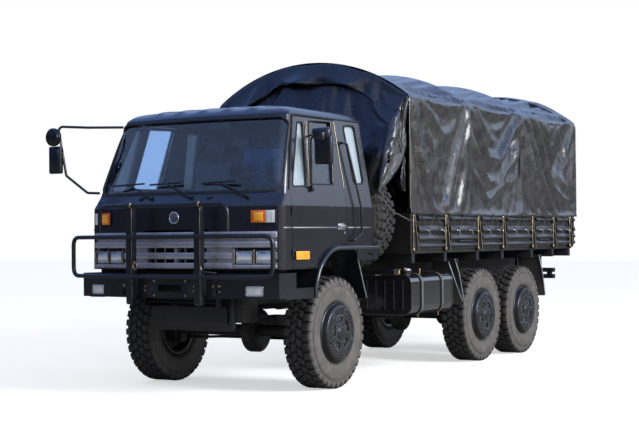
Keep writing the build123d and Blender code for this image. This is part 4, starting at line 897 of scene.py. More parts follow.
# The grab handle: x, z, how far out
GRAB = ((-0.228, 2.44, -0.004), (-0.232, 2.445, 0.045), (-0.295, 2.435, 0.05), (-0.39, 1.79, 0.05),
        (-0.394, 1.53, 0.048), (-0.25, 1.468, 0.044), (-0.244, 1.468, -0.004))
GUTTER = ((0.872, 1.955), (0.608, 2.672), (0.585, 2.684), (0.2, 2.684), (-0.25, 2.684), (-0.712, 2.684))
for side_name, side in SIDES:
    door, wide = f"door_{side_name}", side * 1.13
    fit([along_side(rounded(corners, 0.024), 0.007, side, 0.001, True) for corners in (QUARTER_LIGHT, DOOR_WINDOW)],
        f"door_seals_{side_name}", "rubber", body=door)
    fit([along_side(points, radius, side, proud) for radius, proud, *points in DOOR_HIGHLIGHTS], f"door_highlights_{side_name}",
        "pale_trim_and_highlight", body=door)
    fit(along_side(rounded(REAR_SIDE_WINDOW, 0.05), 0.009, side, 0.001, True),
        f"side_window_seal_{side_name}", "rubber")
    front, on_door, rear = (block((end, wide - side * 0.002, 1.5865), (start, wide + side * 0.005, 1.5975), 0.002)
                            for start, end in ((1.012, 0.868), (0.852, -0.177), (-0.193, -0.7)))
    handle = [block((x, wide + side * out, z), (x_end, wide + side * out_end, z_end), edge)
              for x, x_end, out, out_end, z, z_end, edge in HANDLE]
    handle.append(rod((-0.129, wide - side * 0.002, 1.539), (-0.129, wide + side * 0.006, 1.539), 0.013))
    fit([on_door] + handle, f"door_trim_{side_name}", "bright_trim", body=door)
    fit([front, rear], f"side_trim_{side_name}", "bright_trim")
    lens = [block((0.588, side * 1.147, 1.29), (0.829, side * 1.158, 1.369), 0.006)]
    lens += [block((0.62 + 0.026 * step, side * 1.157, 1.3), (0.625 + 0.026 * step, side * 1.1605, 1.359), 0.001)
             for step in range(8)]
    fit(lens, f"side_marker_{side_name}", "amber_bright", body=door)
    grabs = [tube([side_point(x, z, side, out) for x, z, out in GRAB], 0.0125, 0.035)]
    grabs += [rod(side_point(x, z, side, -0.004), side_point(x, z, side, 0.008), 0.021)
              for x, z in (GRAB[0][:2], GRAB[-1][:2])]
    fit(grabs, f"grab_handle_{side_name}", "guard_paint")
    fit(along_side(GUTTER, 0.01, side, 0.004), f"rain_gutter_{side_name}", "rubber")
    lip = [(0.02 + 0.47 * math.cos(math.pi * step / 32), side * 1.158, 0.92 + 0.47 * math.sin(math.pi * step / 32))
           for step in range(17)] + [(-0.38, side * 1.158, 1.39), (-0.763, side * 1.158, 1.39)]
    fit(tube(lip, 0.022, 0, False, 5), f"flare_lip_{side_name}", "body_paint", slot="guard_paint")
    fit([tube([(x, side * 0.955, 2.708), (x - 0.01, side * 0.926, 2.7445),
               (x - 0.02, side * 0.8, 2.769), (x - 0.03, side * 0.705, 2.783)], 0.008, 0.02)
         for x in (0.14, -0.1, -0.34)], f"roof_presses_{side_name}", "body_paint")


# The roof's levels from the top of the sides inwards: half width, corner x, middle x, rear x, corner bend, height
ROOF_LEVELS = ((0.9926, 0.7192, 0.8312, -0.708, 0.07, 2.595), (0.981, 0.693, 0.803, -0.708, 0.075, 2.683),
               (0.928, 0.603, 0.703, -0.693, 0.095, 2.748), (0.828, 0.508, 0.593, -0.648, 0.11, 2.774),
               (0.703, 0.383, 0.453, -0.558, 0.12, 2.788), (0.58, 0.255, 0.31, -0.44, 0.12, 2.797))
ROOF_RIBS = (-0.56, -0.28, 0.0, 0.28, 0.56)


def roof_ring(half, corner, middle, rear, bend):
    """x, y points round the roof at one level, from the middle of the bowed front over the left side and back."""
    reach = half - bend

    def front(y):
        return corner + (middle - corner) * (1 - (y / half) ** 2)

    nose = front(reach) - bend
    points = [(front(reach * step / 32), reach * step / 32) for step in range(33)]
    for step in range(1, 8):
        turn = math.pi / 2 * step / 7
        points.append((nose + bend * math.cos(turn), reach + bend * math.sin(turn)))
    points += [(nose + (rear + bend - nose) * step / 16, half) for step in range(1, 17)]
    for step in range(1, 7):
        turn = math.pi / 2 * step / 6
        points.append((rear + bend - bend * math.sin(turn), reach + bend * math.cos(turn)))
    points += [(rear, reach * (1 - step / 24)) for step in range(1, 25)]
    return points + [(x, -y) for x, y in reversed(points[:-1])]


def make_roof():
    """The roof's rounded skin with a low crown and five pressed ribs."""
    levels = []
    for four in zip(ROOF_LEVELS, ROOF_LEVELS[1:], ROOF_LEVELS[2:], ROOF_LEVELS[3:]):
        for t in [step / 6 for step in range(6)]:
            levels.append([0.5 * (2 * b + (c - a) * t + (2 * a - 5 * b + 4 * c - d) * t ** 2
                                  + (3 * b - a - 3 * c + d) * t ** 3)
                           for a, b, c, d in zip(*four)])
    levels.append(ROOF_LEVELS[4])
    rows = [[(x, y, 2.679) for x, y in roof_ring(*[value - 0.006 for value in ROOF_LEVELS[1][:3]], -0.702, 0.075)]]
    rows += [[(x, y, level[5]) for x, y in roof_ring(*level[:5])] for level in levels]
    centre_x, edge = (ROOF_LEVELS[4][2] + ROOF_LEVELS[4][3]) / 2, rows[-1]
    for share in [1 - step / 10.05 for step in range(1, 11)]:
        height = 2.788 + 0.03 * (1 - share ** 2)
        rows.append([(centre_x + (x - centre_x) * share, y * share, height) for x, y, z in edge])
    for row in rows[1:]:
        for number, (x, y, z) in enumerate(row):
            pressed = sum(math.exp(-((y - rib) / 0.05) ** 2) for rib in ROOF_RIBS)
            row[number] = (x, y, z + 0.012 * pressed * clamp((z - 2.725) / 0.03) * clamp((x + 0.6) / 0.2))
    roof = only(sheet_mesh("roof", rows))
    mode("EDIT")
    return soften(closed_up(roof, MERGE_GAP), 0)


fit(make_roof(), "roof_crown", "body_paint")
fit([block((0.735, 0.125, 2.555), (0.752, 0.345, 2.625), 0.008),
     rod((0.745, 0.235, 2.61), (0.79, 0.235, 2.665), 0.007)], "interior_mirror", "rubber", slot="dash_plastic")
fit([block((1.044, -1.635, 2.185), (1.0455, -1.505, 2.435), 0.0005),
     rod((1.0565, -1.6, 2.545), (1.0585, -1.6, 2.545), 0.082, 40, 0.0004)], "mirror_faces", "mirror_glass")
fit([block((1.098, -1.628, 2.2), (1.104, -1.512, 2.42), 0.003),
     rod((1.088, -1.6, 2.545), (1.101, -1.6, 2.545), 0.07, 40, 0.01),
     rod((1.03, -1.552, 2.36), (1.03, -1.552, 2.44), 0.024, 20, 0.004),
     rod((1.03, -1.566, 2.5), (1.03, -1.566, 2.58), 0.024, 20, 0.004)], "mirror_backs", "guard_paint")
right_mirror = copied(nodes["mirrors"])
select_faces(right_mirror, lambda centre, normal: centre.y > 0)
bpy.ops.mesh.delete(type="FACE")
pick()
bpy.ops.mesh.remove_doubles(threshold=0.00002)
mode("OBJECT")
fit(soften(right_mirror, 0), "mirror_right", "guard_paint", "mirrors")
# The left mirror is shorter and hangs from the door's window post
left_mirror = [block((0.47, 1.172, 2.195), (0.53, 1.368, 2.475), 0.026, 4),
               block((0.45, 1.145, 2.43), (0.55, 1.352, 2.548), 0.044, 5),
               rod((0.556, 1.285, 2.42), (0.556, 1.285, 2.5), 0.026, 24, 0.008),
               tube([(0.48, 1.085, 1.975), (0.5, 1.135, 1.99), (0.478, 1.115, 2.25), (0.452, 1.1, 2.46),
                     (0.48, 1.19, 2.5)], 0.0105, 0.05),
               tube([(0.395, 1.01, 2.475), (0.44, 1.09, 2.485), (0.48, 1.19, 2.495)], 0.0095, 0.03),
               rod((0.47, 1.09, 1.96), (0.47, 1.135, 1.96), 0.022, 20, 0.006),
               block((0.4, 1.078, 1.945), (0.54, 1.1, 1.975), 0.006)]
fit(left_mirror, "mirror_left", "guard_paint", body="door_left")
fit(block((0.4675, 1.188, 2.212), (0.4692, 1.352, 2.425), 0.0005),
    "mirror_left_face", "mirror_glass", body="door_left")


# Seats

def simulate(piece, cloth, frames):
    """Run a piece's cloth for some frames and keep the shape that it reaches."""
    cloth.collision_settings.use_collision = False
    cloth.point_cache.frame_start, cloth.point_cache.frame_end = 1, frames + 1
    for number in range(1, frames + 1):
        bpy.context.scene.frame_set(number)
    only(piece)
    bpy.ops.object.convert(target="MESH")
    bpy.context.scene.frame_set(1)


def smooth(piece):
    for face in piece.data.polygons:
        face.use_smooth = True
    return piece


def pad(low, high, lean=0.0, swell=0.016):
    """A stuffed pad between two corners, swollen by pressure, then leant back about its lower front edge."""
    piece = modify(block(low, high, 0.024, 3), "REMESH", mode="VOXEL", voxel_size=0.014)
    start = [vertex.co.copy() for vertex in piece.data.vertices]
    cloth = piece.modifiers.new("cloth", "CLOTH")
    cloth.settings.use_pressure = True
    cloth.settings.uniform_pressure_force = 4
    cloth.settings.effector_weights.gravity = 0
    simulate(piece, cloth, 11)
    for vertex, place in zip(piece.data.vertices, start):
        step = vertex.co - place
        vertex.co = place + step * min(1.0, swell / max(step.length, 0.00001))
    foot = Matrix.Translation((at(*high).x, 0, low[2]))
    piece.data.transform(foot @ Matrix.Rotation(lean, 4, "Y") @ foot.inverted())
    return smooth(piece)


frames = []
for number, middle in ((1, 0.69), (2, -0.69)):
    low_y, high_y = middle - 0.235, middle + 0.235
    pads = {"squab": pad((-0.31, low_y, 1.715), (0.17, high_y, 1.815)),
            "back": pad((-0.415, low_y, 1.845), (-0.345, high_y, 2.345), -0.197),
            "rest": pad((-0.52, middle - 0.115, 2.41), (-0.465, middle + 0.115, 2.515), -0.08, 0.008)}
    for part_name, piece in pads.items():
        fit(piece, f"seat_{part_name}_{number}", "seat_cover")
    frames += [block((-0.32, low_y + 0.02, 1.45), (0.17, high_y - 0.02, 1.712), 0.02, 3),
               block((-0.49, low_y + 0.03, 1.5), (-0.44, high_y - 0.03, 1.9), 0.015, 3)]
    frames += [rod((-0.49, y, 2.32), (-0.492, y, 2.45), 0.007) for y in (middle - 0.06, middle + 0.06)]
fit(frames, "seat_frames", "dash_plastic", "seats", slot="seat_cover")


# Bed sides

HOOKS = (-1.75, -2.121, -2.522, -2.862, -3.37, -3.66, -4.15, -4.52, -5.03, -5.3, -5.7, -5.94)
LACE_EYES = (-1.56, -1.93, -2.32, -2.69, -3.1, -3.515, -3.9, -4.335, -4.77, -5.165, -5.5, -5.82, -6.14)


def rope(points, radius, lay=0.03):
    """A laid rope of three strands along a run of points."""
    turns, total = [], 0
    for start, end in zip(points, points[1:]):
        start, run = Vector(start), Vector(end) - Vector(start)
        count = max(2, int(run.length / 0.012))
        across = run.cross(Vector((0, 1, 0))).normalized()
        out = run.cross(across).normalized()
        turns += [(start + run * step / count, across, out, total + run.length * step / count)
                  for step in range(count)]
        total += run.length
    strands = []
    for shift in (0.0, math.tau / 3, 2 * math.tau / 3):
        strand = []
        for point, across, out, reach in turns:
            turn = shift + reach / lay * 2
            strand.append(point + (across * math.cos(turn) + out * math.sin(turn)) * radius * 0.5)
        strands.append(tube(strand, radius * 0.58, 0, False, 1))
    return joined(strands)


hooks, knots, rods_and_highlights, lace = [], [], [], []
for x in HOOKS:
    hooks += [tube([(x - 0.045, 1.236, 1.572), (x - 0.03, 1.256, 1.562), (x, 1.262, 1.555), (x + 0.03, 1.256, 1.562),
                    (x + 0.045, 1.236, 1.572)], 0.006, 0.012),
              tube([(x - 0.01, 1.256, 1.56), (x - 0.022, 1.262, 1.528), (x - 0.05, 1.256, 1.505)], 0.0042, 0.01)]
for eye_x, hook_x in zip(LACE_EYES, HOOKS):
    lace += [(eye_x, 1.25, 1.752), (hook_x, 1.264, 1.562)]
lacing = rope(lace + [(LACE_EYES[-1], 1.25, 1.752)], 0.0042)
eye_model = soften(ring(0.012, 0.003, 0.004, 8, 20), 0)
eyes = [copied(eye_model, Matrix.Translation(at(x, 1.247, 1.757))) for x in LACE_EYES]
bpy.data.objects.remove(eye_model)
for x in POSTS:
    rods_and_highlights.append(rod((x + 0.068, 1.24, 1.34), (x + 0.068, 1.24, 1.728), 0.0065, 12))
    knots += [rod((x + 0.068, 1.24, z - 0.015), (x + 0.068, 1.24, z + 0.015), 0.0125, 12, 0.003)
              for z in (1.352, 1.545, 1.708)]
    # A pale slanted strip down each panel's frame edge, a painted highlight
    rods_and_highlights.append(tube([(x + 0.028, 1.238, 1.742), (x - 0.058, 1.238, 1.335)], 0.0045, 0))
fit(pair(hooks), "rope_hooks", "zinc")
fit(pair(lacing), "hem_lacing", "rope_fibre")
fit(pair(eyes), "hem_eyes", "brass", slot="canopy_cloth")
fit(pair(rods_and_highlights), "stake_rods_and_highlights", "pale_trim_and_highlight", slot="bed_paint")
fit(pair(knots), "hinge_knots", "brass", slot="bed_paint")
# Pressed ribs along the sides: where the upper slope starts, its foot, and the rib's bottom
PRESSED_RIBS = ((1.722, 1.695, 1.672), (1.618, 1.568, 1.54), (1.516, 1.476, 1.452), (1.424, 1.396, 1.374))
presses = []
for post, following in zip(POSTS, POSTS[1:] + (-6.318,)):
    for top, foot, bottom in PRESSED_RIBS:
        section = ((1.23, top), (1.249, foot), (1.249, bottom + 0.008), (1.23, bottom))
        presses.append(plate([(post - 0.064, y, z) for y, z in section], (following - post + 0.15, 0, 0), 0.003))
fit(pair(presses), "side_presses", "bed_paint")
fit(pair([block((x - 0.16, 1.234, 1.431), (x + 0.16, 1.247, 1.448), 0.005) for x in (-2.72, -5.14)]),
    "side_latches", "bed_paint")


# Fuel tank, stays and tail

tank_parts = [tube([(x, y, z) for y, z in box_outline((0.5, 0.65), (1.15, 1.08), 0.095)], 0.009, 0, True)
              for x in (-1.524, -2.546)]
tank_parts += [tube([(-1.517, y, 0.705), (-1.517, y, 1.025)], 0.0075, 0) for y in (0.61, 0.72, 0.83, 0.94, 1.05)]
fit(tank_parts, "tank_presses", "tank_paint")
fit([band([(x - 0.022, y, z) for y, z in box_outline((0.489, 0.639), (1.161, 1.091), 0.104)], (0.044, 0, 0), 0.003)
     for x in (-1.774, -2.274)], "tank_straps", "strap_paint")
# What stands on the tank and the bolts down its straps: x, y, reach from the tank's top, radius
TANK_TOP_Z = 1.078
TANK_FITTINGS = ((-1.56, 0.98, 0.045, 0.018), (-1.92, 0.92, 0.05, 0.02), (-2.02, 0.86, 0.035, 0.028),
                 (-2.12, 0.95, 0.055, 0.013), (-1.774, 1.1, -0.47, 0.009), (-2.274, 1.1, -0.47, 0.009))
fittings = [rod((x, y, TANK_TOP_Z), (x, y, TANK_TOP_Z + reach), radius, 16, 0.003)
            for x, y, reach, radius in TANK_FITTINGS]
fittings += [tube([(-1.56, 0.98, 1.115), (-1.6, 0.9, 1.13), (-1.8, 0.84, 1.125), (-1.92, 0.92, 1.125)], 0.008, 0.04),
             tube([(-1.52, 1.0, 1.09), (-1.44, 0.9, 1.1), (-1.36, 0.8, 1.08)], 0.009, 0.04)]
fit(fittings, "tank_fittings", "brass", slot="bed_paint")
fit([rod((-1.7, 1.0, 1.118), (-1.7, 1.0, 1.14), 0.06, 24, 0.006), block((-1.755, 0.99, 1.138), (-1.645, 1.01, 1.15))],
    "tank_cap", "bright_trim", slot="bed_paint")
fit([block((0.7, 0.3, 0.69), (0.96, 0.64, 1.01), 0.02), block((0.8, -0.3, 0.86), (0.9, 0.4, 0.97), 0.01),
     rod((0.965, 0.52, 0.63), (0.965, 0.52, 0.93), 0.03)], "steering_gear", "frame_paint")
stays = [tube([(-2.722, 1.1, 1.235), (-2.775, 1.132, 1.06), (-2.905, 1.132, 0.72)], 0.0085, 0.05),
         tube([(-2.6, 1.08, 1.2), (-2.66, 1.132, 0.98), (-2.86, 1.132, 0.74)], 0.0075, 0.05),
         tube([(-5.272, 1.1, 1.235), (-5.3, 1.132, 1.05), (-5.395, 1.132, 0.71)], 0.0085, 0.05),
         tube([(-0.335, 1.135, 1.385), (-0.556, 1.135, 0.875)], 0.007, 0)]
fit(pair(stays), "flap_stays", "zinc", slot="flap_rubber")
rear_bar = [block((-6.19, -0.97, low_z), (-6.105, 0.97, low_z + 0.058), 0.008) for low_z in (0.902, 0.987)]
rear_bar += [block((-6.18, y - 0.03, 0.905), (-6.12, y + 0.03, 1.04), 0.004) for y in (-0.9, -0.42, 0.42, 0.9)]
rear_bar += [block((-6.185, y - 0.035, 0.92), (-6.09, y + 0.035, 1.2), 0.004) for y in (-0.42, 0.42)]
fit(rear_bar, "rear_bar", "guard_paint", slot="chassis_paint")
for name, finish, low_y, high_y in (("tail_red", "red_lens", 0.765, 0.9), ("tail_amber", "amber_lens", 0.905, 1.01),
                                    ("tail_white", "lens_white", 1.015, 1.115)):
    fit(pair(block((-6.223, low_y, 1.23), (-6.213, high_y, 1.295), 0.004)), name, finish)


# Canopy cloth

ARCH_RADIUS = (BED_HALF_WIDTH ** 2 + (RIDGE_Z - SHOULDER_Z) ** 2) / (2 * (RIDGE_Z - SHOULDER_Z))
ARCH_Z = RIDGE_Z - ARCH_RADIUS
SHOULDER_BEND = 0.12
CLOTH_STEP = 0.03
# Folds in the canopy's side: x, z where a fold starts, x, z where it runs out, how far it stands out, half width
SIDE_FOLDS = (
    (-1.45, 2.97, -1.8, 1.8, 0.03, 0.045), (-1.62, 2.97, -1.72, 1.85, 0.022, 0.035),
    (-1.72, 2.98, -1.92, 2.55, 0.034, 0.045), (-1.9, 2.58, -2.24, 1.79, 0.034, 0.05),
    (-1.87, 2.95, -2.17, 2.62, 0.024, 0.045), (-1.55, 2.6, -1.84, 1.79, 0.02, 0.035),
    (-2.85, 2.95, -2.26, 1.79, 0.04, 0.055), (-2.88, 2.8, -2.42, 1.86, 0.034, 0.045),
    (-2.9, 2.95, -2.64, 1.79, 0.03, 0.045), (-2.93, 2.6, -2.72, 1.8, 0.018, 0.035),
    (-2.98, 2.96, -3.42, 2.44, 0.044, 0.05), (-3.42, 2.44, -3.72, 2.42, 0.03, 0.055),
    (-3.72, 2.42, -4.34, 2.93, 0.044, 0.055), (-3.02, 2.6, -3.44, 2.14, 0.036, 0.045),
    (-3.44, 2.14, -3.8, 2.16, 0.03, 0.055), (-3.8, 2.16, -4.36, 2.6, 0.034, 0.055),
    (-3.05, 2.25, -3.42, 1.93, 0.026, 0.04), (-3.42, 1.93, -4.1, 2.2, 0.03, 0.05),
    (-4.37, 2.95, -3.97, 1.79, 0.032, 0.05), (-4.4, 2.7, -4.15, 1.8, 0.02, 0.04),
    (-4.5, 2.97, -4.78, 1.79, 0.026, 0.04), (-4.62, 2.97, -5.06, 1.8, 0.034, 0.045),
    (-4.69, 2.97, -5.42, 1.79, 0.04, 0.05), (-4.95, 2.97, -5.75, 1.8, 0.036, 0.05),
    (-5.25, 2.95, -5.62, 2.35, 0.028, 0.05), (-5.62, 2.35, -5.95, 2.1, 0.026, 0.05),
    (-5.7, 2.95, -5.86, 2.45, 0.024, 0.045), (-5.95, 2.7, -6.1, 2.05, 0.024, 0.045),
    (-5.8, 2.02, -6.2, 1.84, 0.02, 0.04))
# Folds in the top's left half, from the bows' shoulders forward to the ridge: x, y, x, y, height, half width
TOP_FOLDS = (
    (-2.83, 1.18, -1.78, 0.3, 0.034, 0.05), (-2.8, 1.16, -2.2, 0.62, 0.024, 0.045),
    (-2.95, 1.15, -3.36, 0.78, 0.02, 0.045), (-1.44, 1.17, -1.98, 0.8, 0.022, 0.045),
    (-4.35, 1.18, -3.28, 0.28, 0.034, 0.055), (-4.3, 1.16, -3.7, 0.7, 0.026, 0.045),
    (-4.47, 1.15, -4.96, 0.72, 0.022, 0.05), (-6.16, 1.16, -4.72, 0.22, 0.034, 0.055),
    (-6.1, 1.17, -5.42, 0.66, 0.026, 0.05), (-6.2, 0.7, -5.6, 0.05, 0.022, 0.05))
# Places across the front edge where it runs over the bow's bends
KINKS = (-1.235, -0.95, -0.65, -0.37, 0.36, 0.83, 1.235)


def canopy_section():
    """y, z points from the left hem over the ridge to the right hem, and where the left shoulder is among them."""
    bend_y = BED_HALF_WIDTH - SHOULDER_BEND
    bend_z = ARCH_Z + math.sqrt((ARCH_RADIUS - SHOULDER_BEND) ** 2 - bend_y ** 2)
    meet = math.atan2(bend_z - ARCH_Z, bend_y)
    heights = [HEM_Z + (bend_z - HEM_Z) * step / 40 for step in range(40)]
    side = [(BED_HALF_WIDTH + 0.01 * math.exp(-((z - HEM_Z) / 0.09) ** 2), z) for z in heights]
    side += [(bend_y + SHOULDER_BEND * math.cos(meet * step / 6), bend_z + SHOULDER_BEND * math.sin(meet * step / 6))
             for step in range(6)]
    turns = [meet + (math.pi - 2 * meet) * step / 62 for step in range(63)]
    top = [(ARCH_RADIUS * math.cos(turn), ARCH_Z + ARCH_RADIUS * math.sin(turn)) for turn in turns]
    return side + top + [(-y, z) for y, z in reversed(side)], len(heights) + 4


def edge_dip(y):
    """How far the front edge dips between its kinks."""
    for low_y, high_y in zip(KINKS, KINKS[1:]):
        if low_y <= y <= high_y:
            return 0.016 * math.sin(math.pi * (y - low_y) / (high_y - low_y))
    return 0.0


def fold_height(x, z, folds):
    """How far a table's folds lift the cloth at one place."""
    lift = 0.0
    for x_start, z_start, x_end, z_end, height, width in folds:
        run_x, run_z = x_end - x_start, z_end - z_start
        length = math.hypot(run_x, run_z)
        along = ((x - x_start) * run_x + (z - z_start) * run_z) / length
        if not -0.08 < along < length + 0.08:
            continue
        off = abs((x - x_start) * run_z - (z - z_start) * run_x) / length
        taper = min(1, (along + 0.08) / 0.16, (length + 0.08 - along) / 0.16)
        crest = math.exp(-(math.hypot(off, 0.01) - 0.01) / (0.75 * width))
        lift += height * taper * (crest - 0.45 * math.exp(-((off - 2.2 * width) / width) ** 2))
    return lift


def crumpled(x, y, z):
    """An even crumple of the cloth, from -1 to 1."""
    return noise.noise(Vector((x, y, z)))


def thicken(piece, thickness=0.003):
    """Give a sheet its thickness, inwards."""
    return smooth(modify(piece, "SOLIDIFY", thickness=thickness, offset=-1))


def hang(name, rows, cut, held, frames, bending):
    """A thick sheet that hangs by its held points until it is at rest. cut gives the points of its flat cut."""
    piece = sheet_mesh(name, rows)
    group = piece.vertex_groups.new(name="held")
    for number in held:
        group.add([number], 1.0, "REPLACE")
    flat = piece.shape_key_add(name="cut")
    piece.shape_key_add(name="hung").value = 1.0
    for point, place in zip(flat.data, cut):
        point.co = at(*place)
    cloth = piece.modifiers.new("cloth", "CLOTH")
    settings = dict(quality=6, mass=0.5, tension_stiffness=60, compression_stiffness=60, shear_stiffness=30,
                    bending_stiffness=bending, air_damping=4, vertex_group_mass="held", rest_shape_key=flat)
    for key, value in settings.items():
        setattr(cloth.settings, key, value)
    simulate(piece, cloth, frames)
    return thicken(piece)


def near(value, places, reach):
    """Whether a value is within reach of one of some places."""
    return min(abs(value - place) for place in places) < reach


def make_canopy():
    """The canopy over its four bows, slack enough to fold from their shoulders and laced down at the hem."""
    section, shoulder = canopy_section()
    columns = round((BED_FRONT_X - CANOPY_REAR_X) / CLOTH_STEP)
    step = (BED_FRONT_X - CANOPY_REAR_X) / columns
    eyes = (-1.38, *LACE_EYES, -6.28)
    rows, cut, held = [], [], []
    shoulders = (shoulder, len(section) - 1 - shoulder)
    middle = (BED_FRONT_X + CANOPY_REAR_X) / 2
    for column in range(columns + 1):
        x = BED_FRONT_X - step * column
        away = x - min(BOWS, key=lambda place: abs(place - x))
        bay = 0.5 - 0.5 * math.cos(math.pi * min(1, abs(away) / 0.75))
        end = column in (0, columns)
        row = []
        for number, (y, z) in enumerate(section):
            side = 1 if y > 0 else -1
            on_side = number < shoulders[0] or number > shoulders[1]
            at_shoulder = number in shoulders
            on_bow = near(x, BOWS, step * 0.51) and z > 2.8
            laced = near(x, eyes, step * 0.51) and z < HEM_Z + 0.01
            hold = at_shoulder or on_bow or laced or end and z > 1.9
            place_x, place_y, place_z = x, y, z
            if not end and z > 2.85:
                place_x -= away * 0.25 * math.exp(-(away / 0.32) ** 2) * max(0.0, 1 - abs(z - SHOULDER_Z) / 0.2)
            if at_shoulder:
                place_z -= 0.024 * bay
                place_y -= side * 0.014 * bay
            if on_side and not hold:
                from_end = min(x - CANOPY_REAR_X, BED_FRONT_X - x)
                free = min(1, (z - HEM_Z + 0.03) / 0.12) * min(1, from_end / 0.06 + 0.1)
                crumple = crumpled(x * 6.5, side * 3.0, z * 6.5) * 0.012
                crumple += crumpled(x * 2.3, side * 5.0, z * 1.4) * 0.022
                place_y += side * (fold_height(x, z, SIDE_FOLDS) * 1.25 + crumple) * free
            elif not hold:
                lift = fold_height(x, abs(y), TOP_FOLDS) + 0.014 * crumpled(x * 2.6, y * 3.0, 4.0)
                ridge = math.exp(-(away / 0.1) ** 2) * 0.01
                place_z += ridge + lift - 0.026 * bay * (1 - 0.5 * abs(y) / BED_HALF_WIDTH)
                place_z -= edge_dip(y) * math.exp((x - BED_FRONT_X) / 0.35)
            if hold:
                held.append(column * len(section) + number)
            row.append((place_x, place_y, place_z))
            slack = 1.003 + 0.027 * clamp((SHOULDER_Z - z) / 0.5)
            sag = 0.0 if on_side else bay
            cut.append(((x - middle) * slack + middle, y - side * 0.01 * sag, z - 0.022 * sag))
        rows.append(row)
    return hang("canopy_cover", rows, cut, held, 18, 4.0)


outline = [Vector(point) for point in canopy_section()[0]]
canopy = fit(make_canopy(), "canopy_cover", "canopy_cloth", "canopy")


def arch_point(y):
    """Height of the canopy's front edge at y, with its rounded shoulders."""
    limit = BED_HALF_WIDTH - 0.05
    if abs(y) <= limit:
        return ARCH_Z + math.sqrt(ARCH_RADIUS ** 2 - y ** 2) - edge_dip(y)
    share = (abs(y) - limit) / (BED_HALF_WIDTH - limit)
    return ARCH_Z + math.sqrt(ARCH_RADIUS ** 2 - limit ** 2) - 0.09 * share ** 2


def curtain_like(name, across, down, shape, frames, bending, every, first=0, sides=True):
    """A sheet held along its top, at some places of its foot and perhaps at its sides. shape gives a point's place
    and its place in the flat cut from where it is across, 1 to -1, and down, 0 to 1."""
    rows, cut, held = [], [], []
    for line in range(down + 1):
        row = []
        for column in range(across + 1):
            place, flat = shape(1 - 2 * column / across, line / down)
            row.append(place)
            cut.append(flat)
            if line == 0 or sides and column in (0, across) or line == down and column % every == first:
                held.append(line * (across + 1) + column)
        rows.append(row)
    return hang(name, rows, cut, held, frames, bending)


def valance_point(part, share):
    """The canopy's overhang at the front, a band that hangs from the first bow."""
    y = BED_HALF_WIDTH * part
    z = arch_point(y) - (0.2 + 0.14 * abs(y / BED_HALF_WIDTH) ** 1.5 + 0.03 * math.sin(y * 7 + 1.0)) * share
    wave = 0.055 * share * (crumpled(y * 5, share * 1.5, 2.0) + 0.4 * math.sin(y * 11 + 3 * share))
    return (BED_FRONT_X + (0.006 + 0.115 * share) + wave, y, z), (BED_FRONT_X, y * 1.03, z)


valance = curtain_like("front_valance", 96, 9, valance_point, 10, 1.0, 12, 5, sides=False)
# The valance takes the darker cloth, a painted shade
fit(valance, "front_valance", "shaded_cloth")

# The curtain's middle section and its side edge from the top down, as x, z
CURTAIN_MIDDLE = ((-1.365, 3.37), (-1.29, 3.12), (-0.838, 2.33), (-0.826, 1.93))
CURTAIN_SIDE = ((-1.345, 3.0), (-1.23, 2.84), (-1.15, 2.7), (-0.836, 1.95))


def on_path(path, share):
    """The point a share of the way along a path of x, z points."""
    runs = [math.dist(start, end) for start, end in zip(path, path[1:])]
    reach = share * sum(runs)
    for (start, end), run in zip(zip(path, path[1:]), runs):
        if reach <= run:
            break
        reach -= run
    reach = min(reach, run)
    return [low + (high - low) * reach / run for low, high in zip(start, end)]


def curtain_point(part, share):
    """The front curtain, which hangs inside the valance, forward over the spare wheel and tied at its low corners."""
    edge = max(0.0, (abs(part) - 0.72) / 0.28)
    edge = edge * edge * (3 - 2 * edge)
    middle_x, middle_z = on_path(CURTAIN_MIDDLE, share)
    side_x, side_z = on_path(CURTAIN_SIDE, share)
    y = part * (1.195 - 0.065 * share)
    x = middle_x + (side_x - middle_x) * edge
    z = (middle_z - (3.37 - arch_point(y) + 0.06) * (1 - share) ** 2) * (1 - edge) + side_z * edge
    slack = math.sin(share * math.pi) * (1 - 0.6 * edge)
    swing = part * 10 + 11 * share + 2.4 * crumpled(part * 2.4, share * 2.4, 7.0)
    pleat = (0.03 * math.sin(swing) + 0.014 * math.sin(2.3 * swing + 1.0)) * slack
    return (x + pleat, y, z), (x, y * 1.07, z)


curtain = curtain_like("curtain_cloth", 96, 66, curtain_point, 12, 2.0, 16)
# The curtain takes the darker cloth, a painted shade
fit(curtain, "curtain_cloth", "shaded_cloth", "front_curtain")


def grid(name, across, down, shape):
    """A thick sheet whose points shape gives from shares across and down."""
    return thicken(sheet_mesh(name, [[shape(column / across, row / down) for column in range(across + 1)]
                                     for row in range(down + 1)]))


def make_gather(side):
    """The curtain's loose edge, rolled and crumpled down to its tied tip, with the flap that hangs from it."""
    def shape(part, share):
        edge_x, edge_z = on_path(CURTAIN_SIDE[1:], share)
        reach = 0.27 * math.sin(min(1, share * 1.15) * math.pi) ** 0.8 * part
        crumple = crumpled(part * 4, share * 7, 3.0 + side) * 0.012 * math.sin(part * math.pi * 0.9)
        out = 1.15 - 0.03 * share + 0.22 * reach + crumple + 0.01 * math.sin(part * 7 + share * 3) * part
        return edge_x - reach, side * out, edge_z - 0.1 * part * share

    return grid("gather", 16, 40, shape)


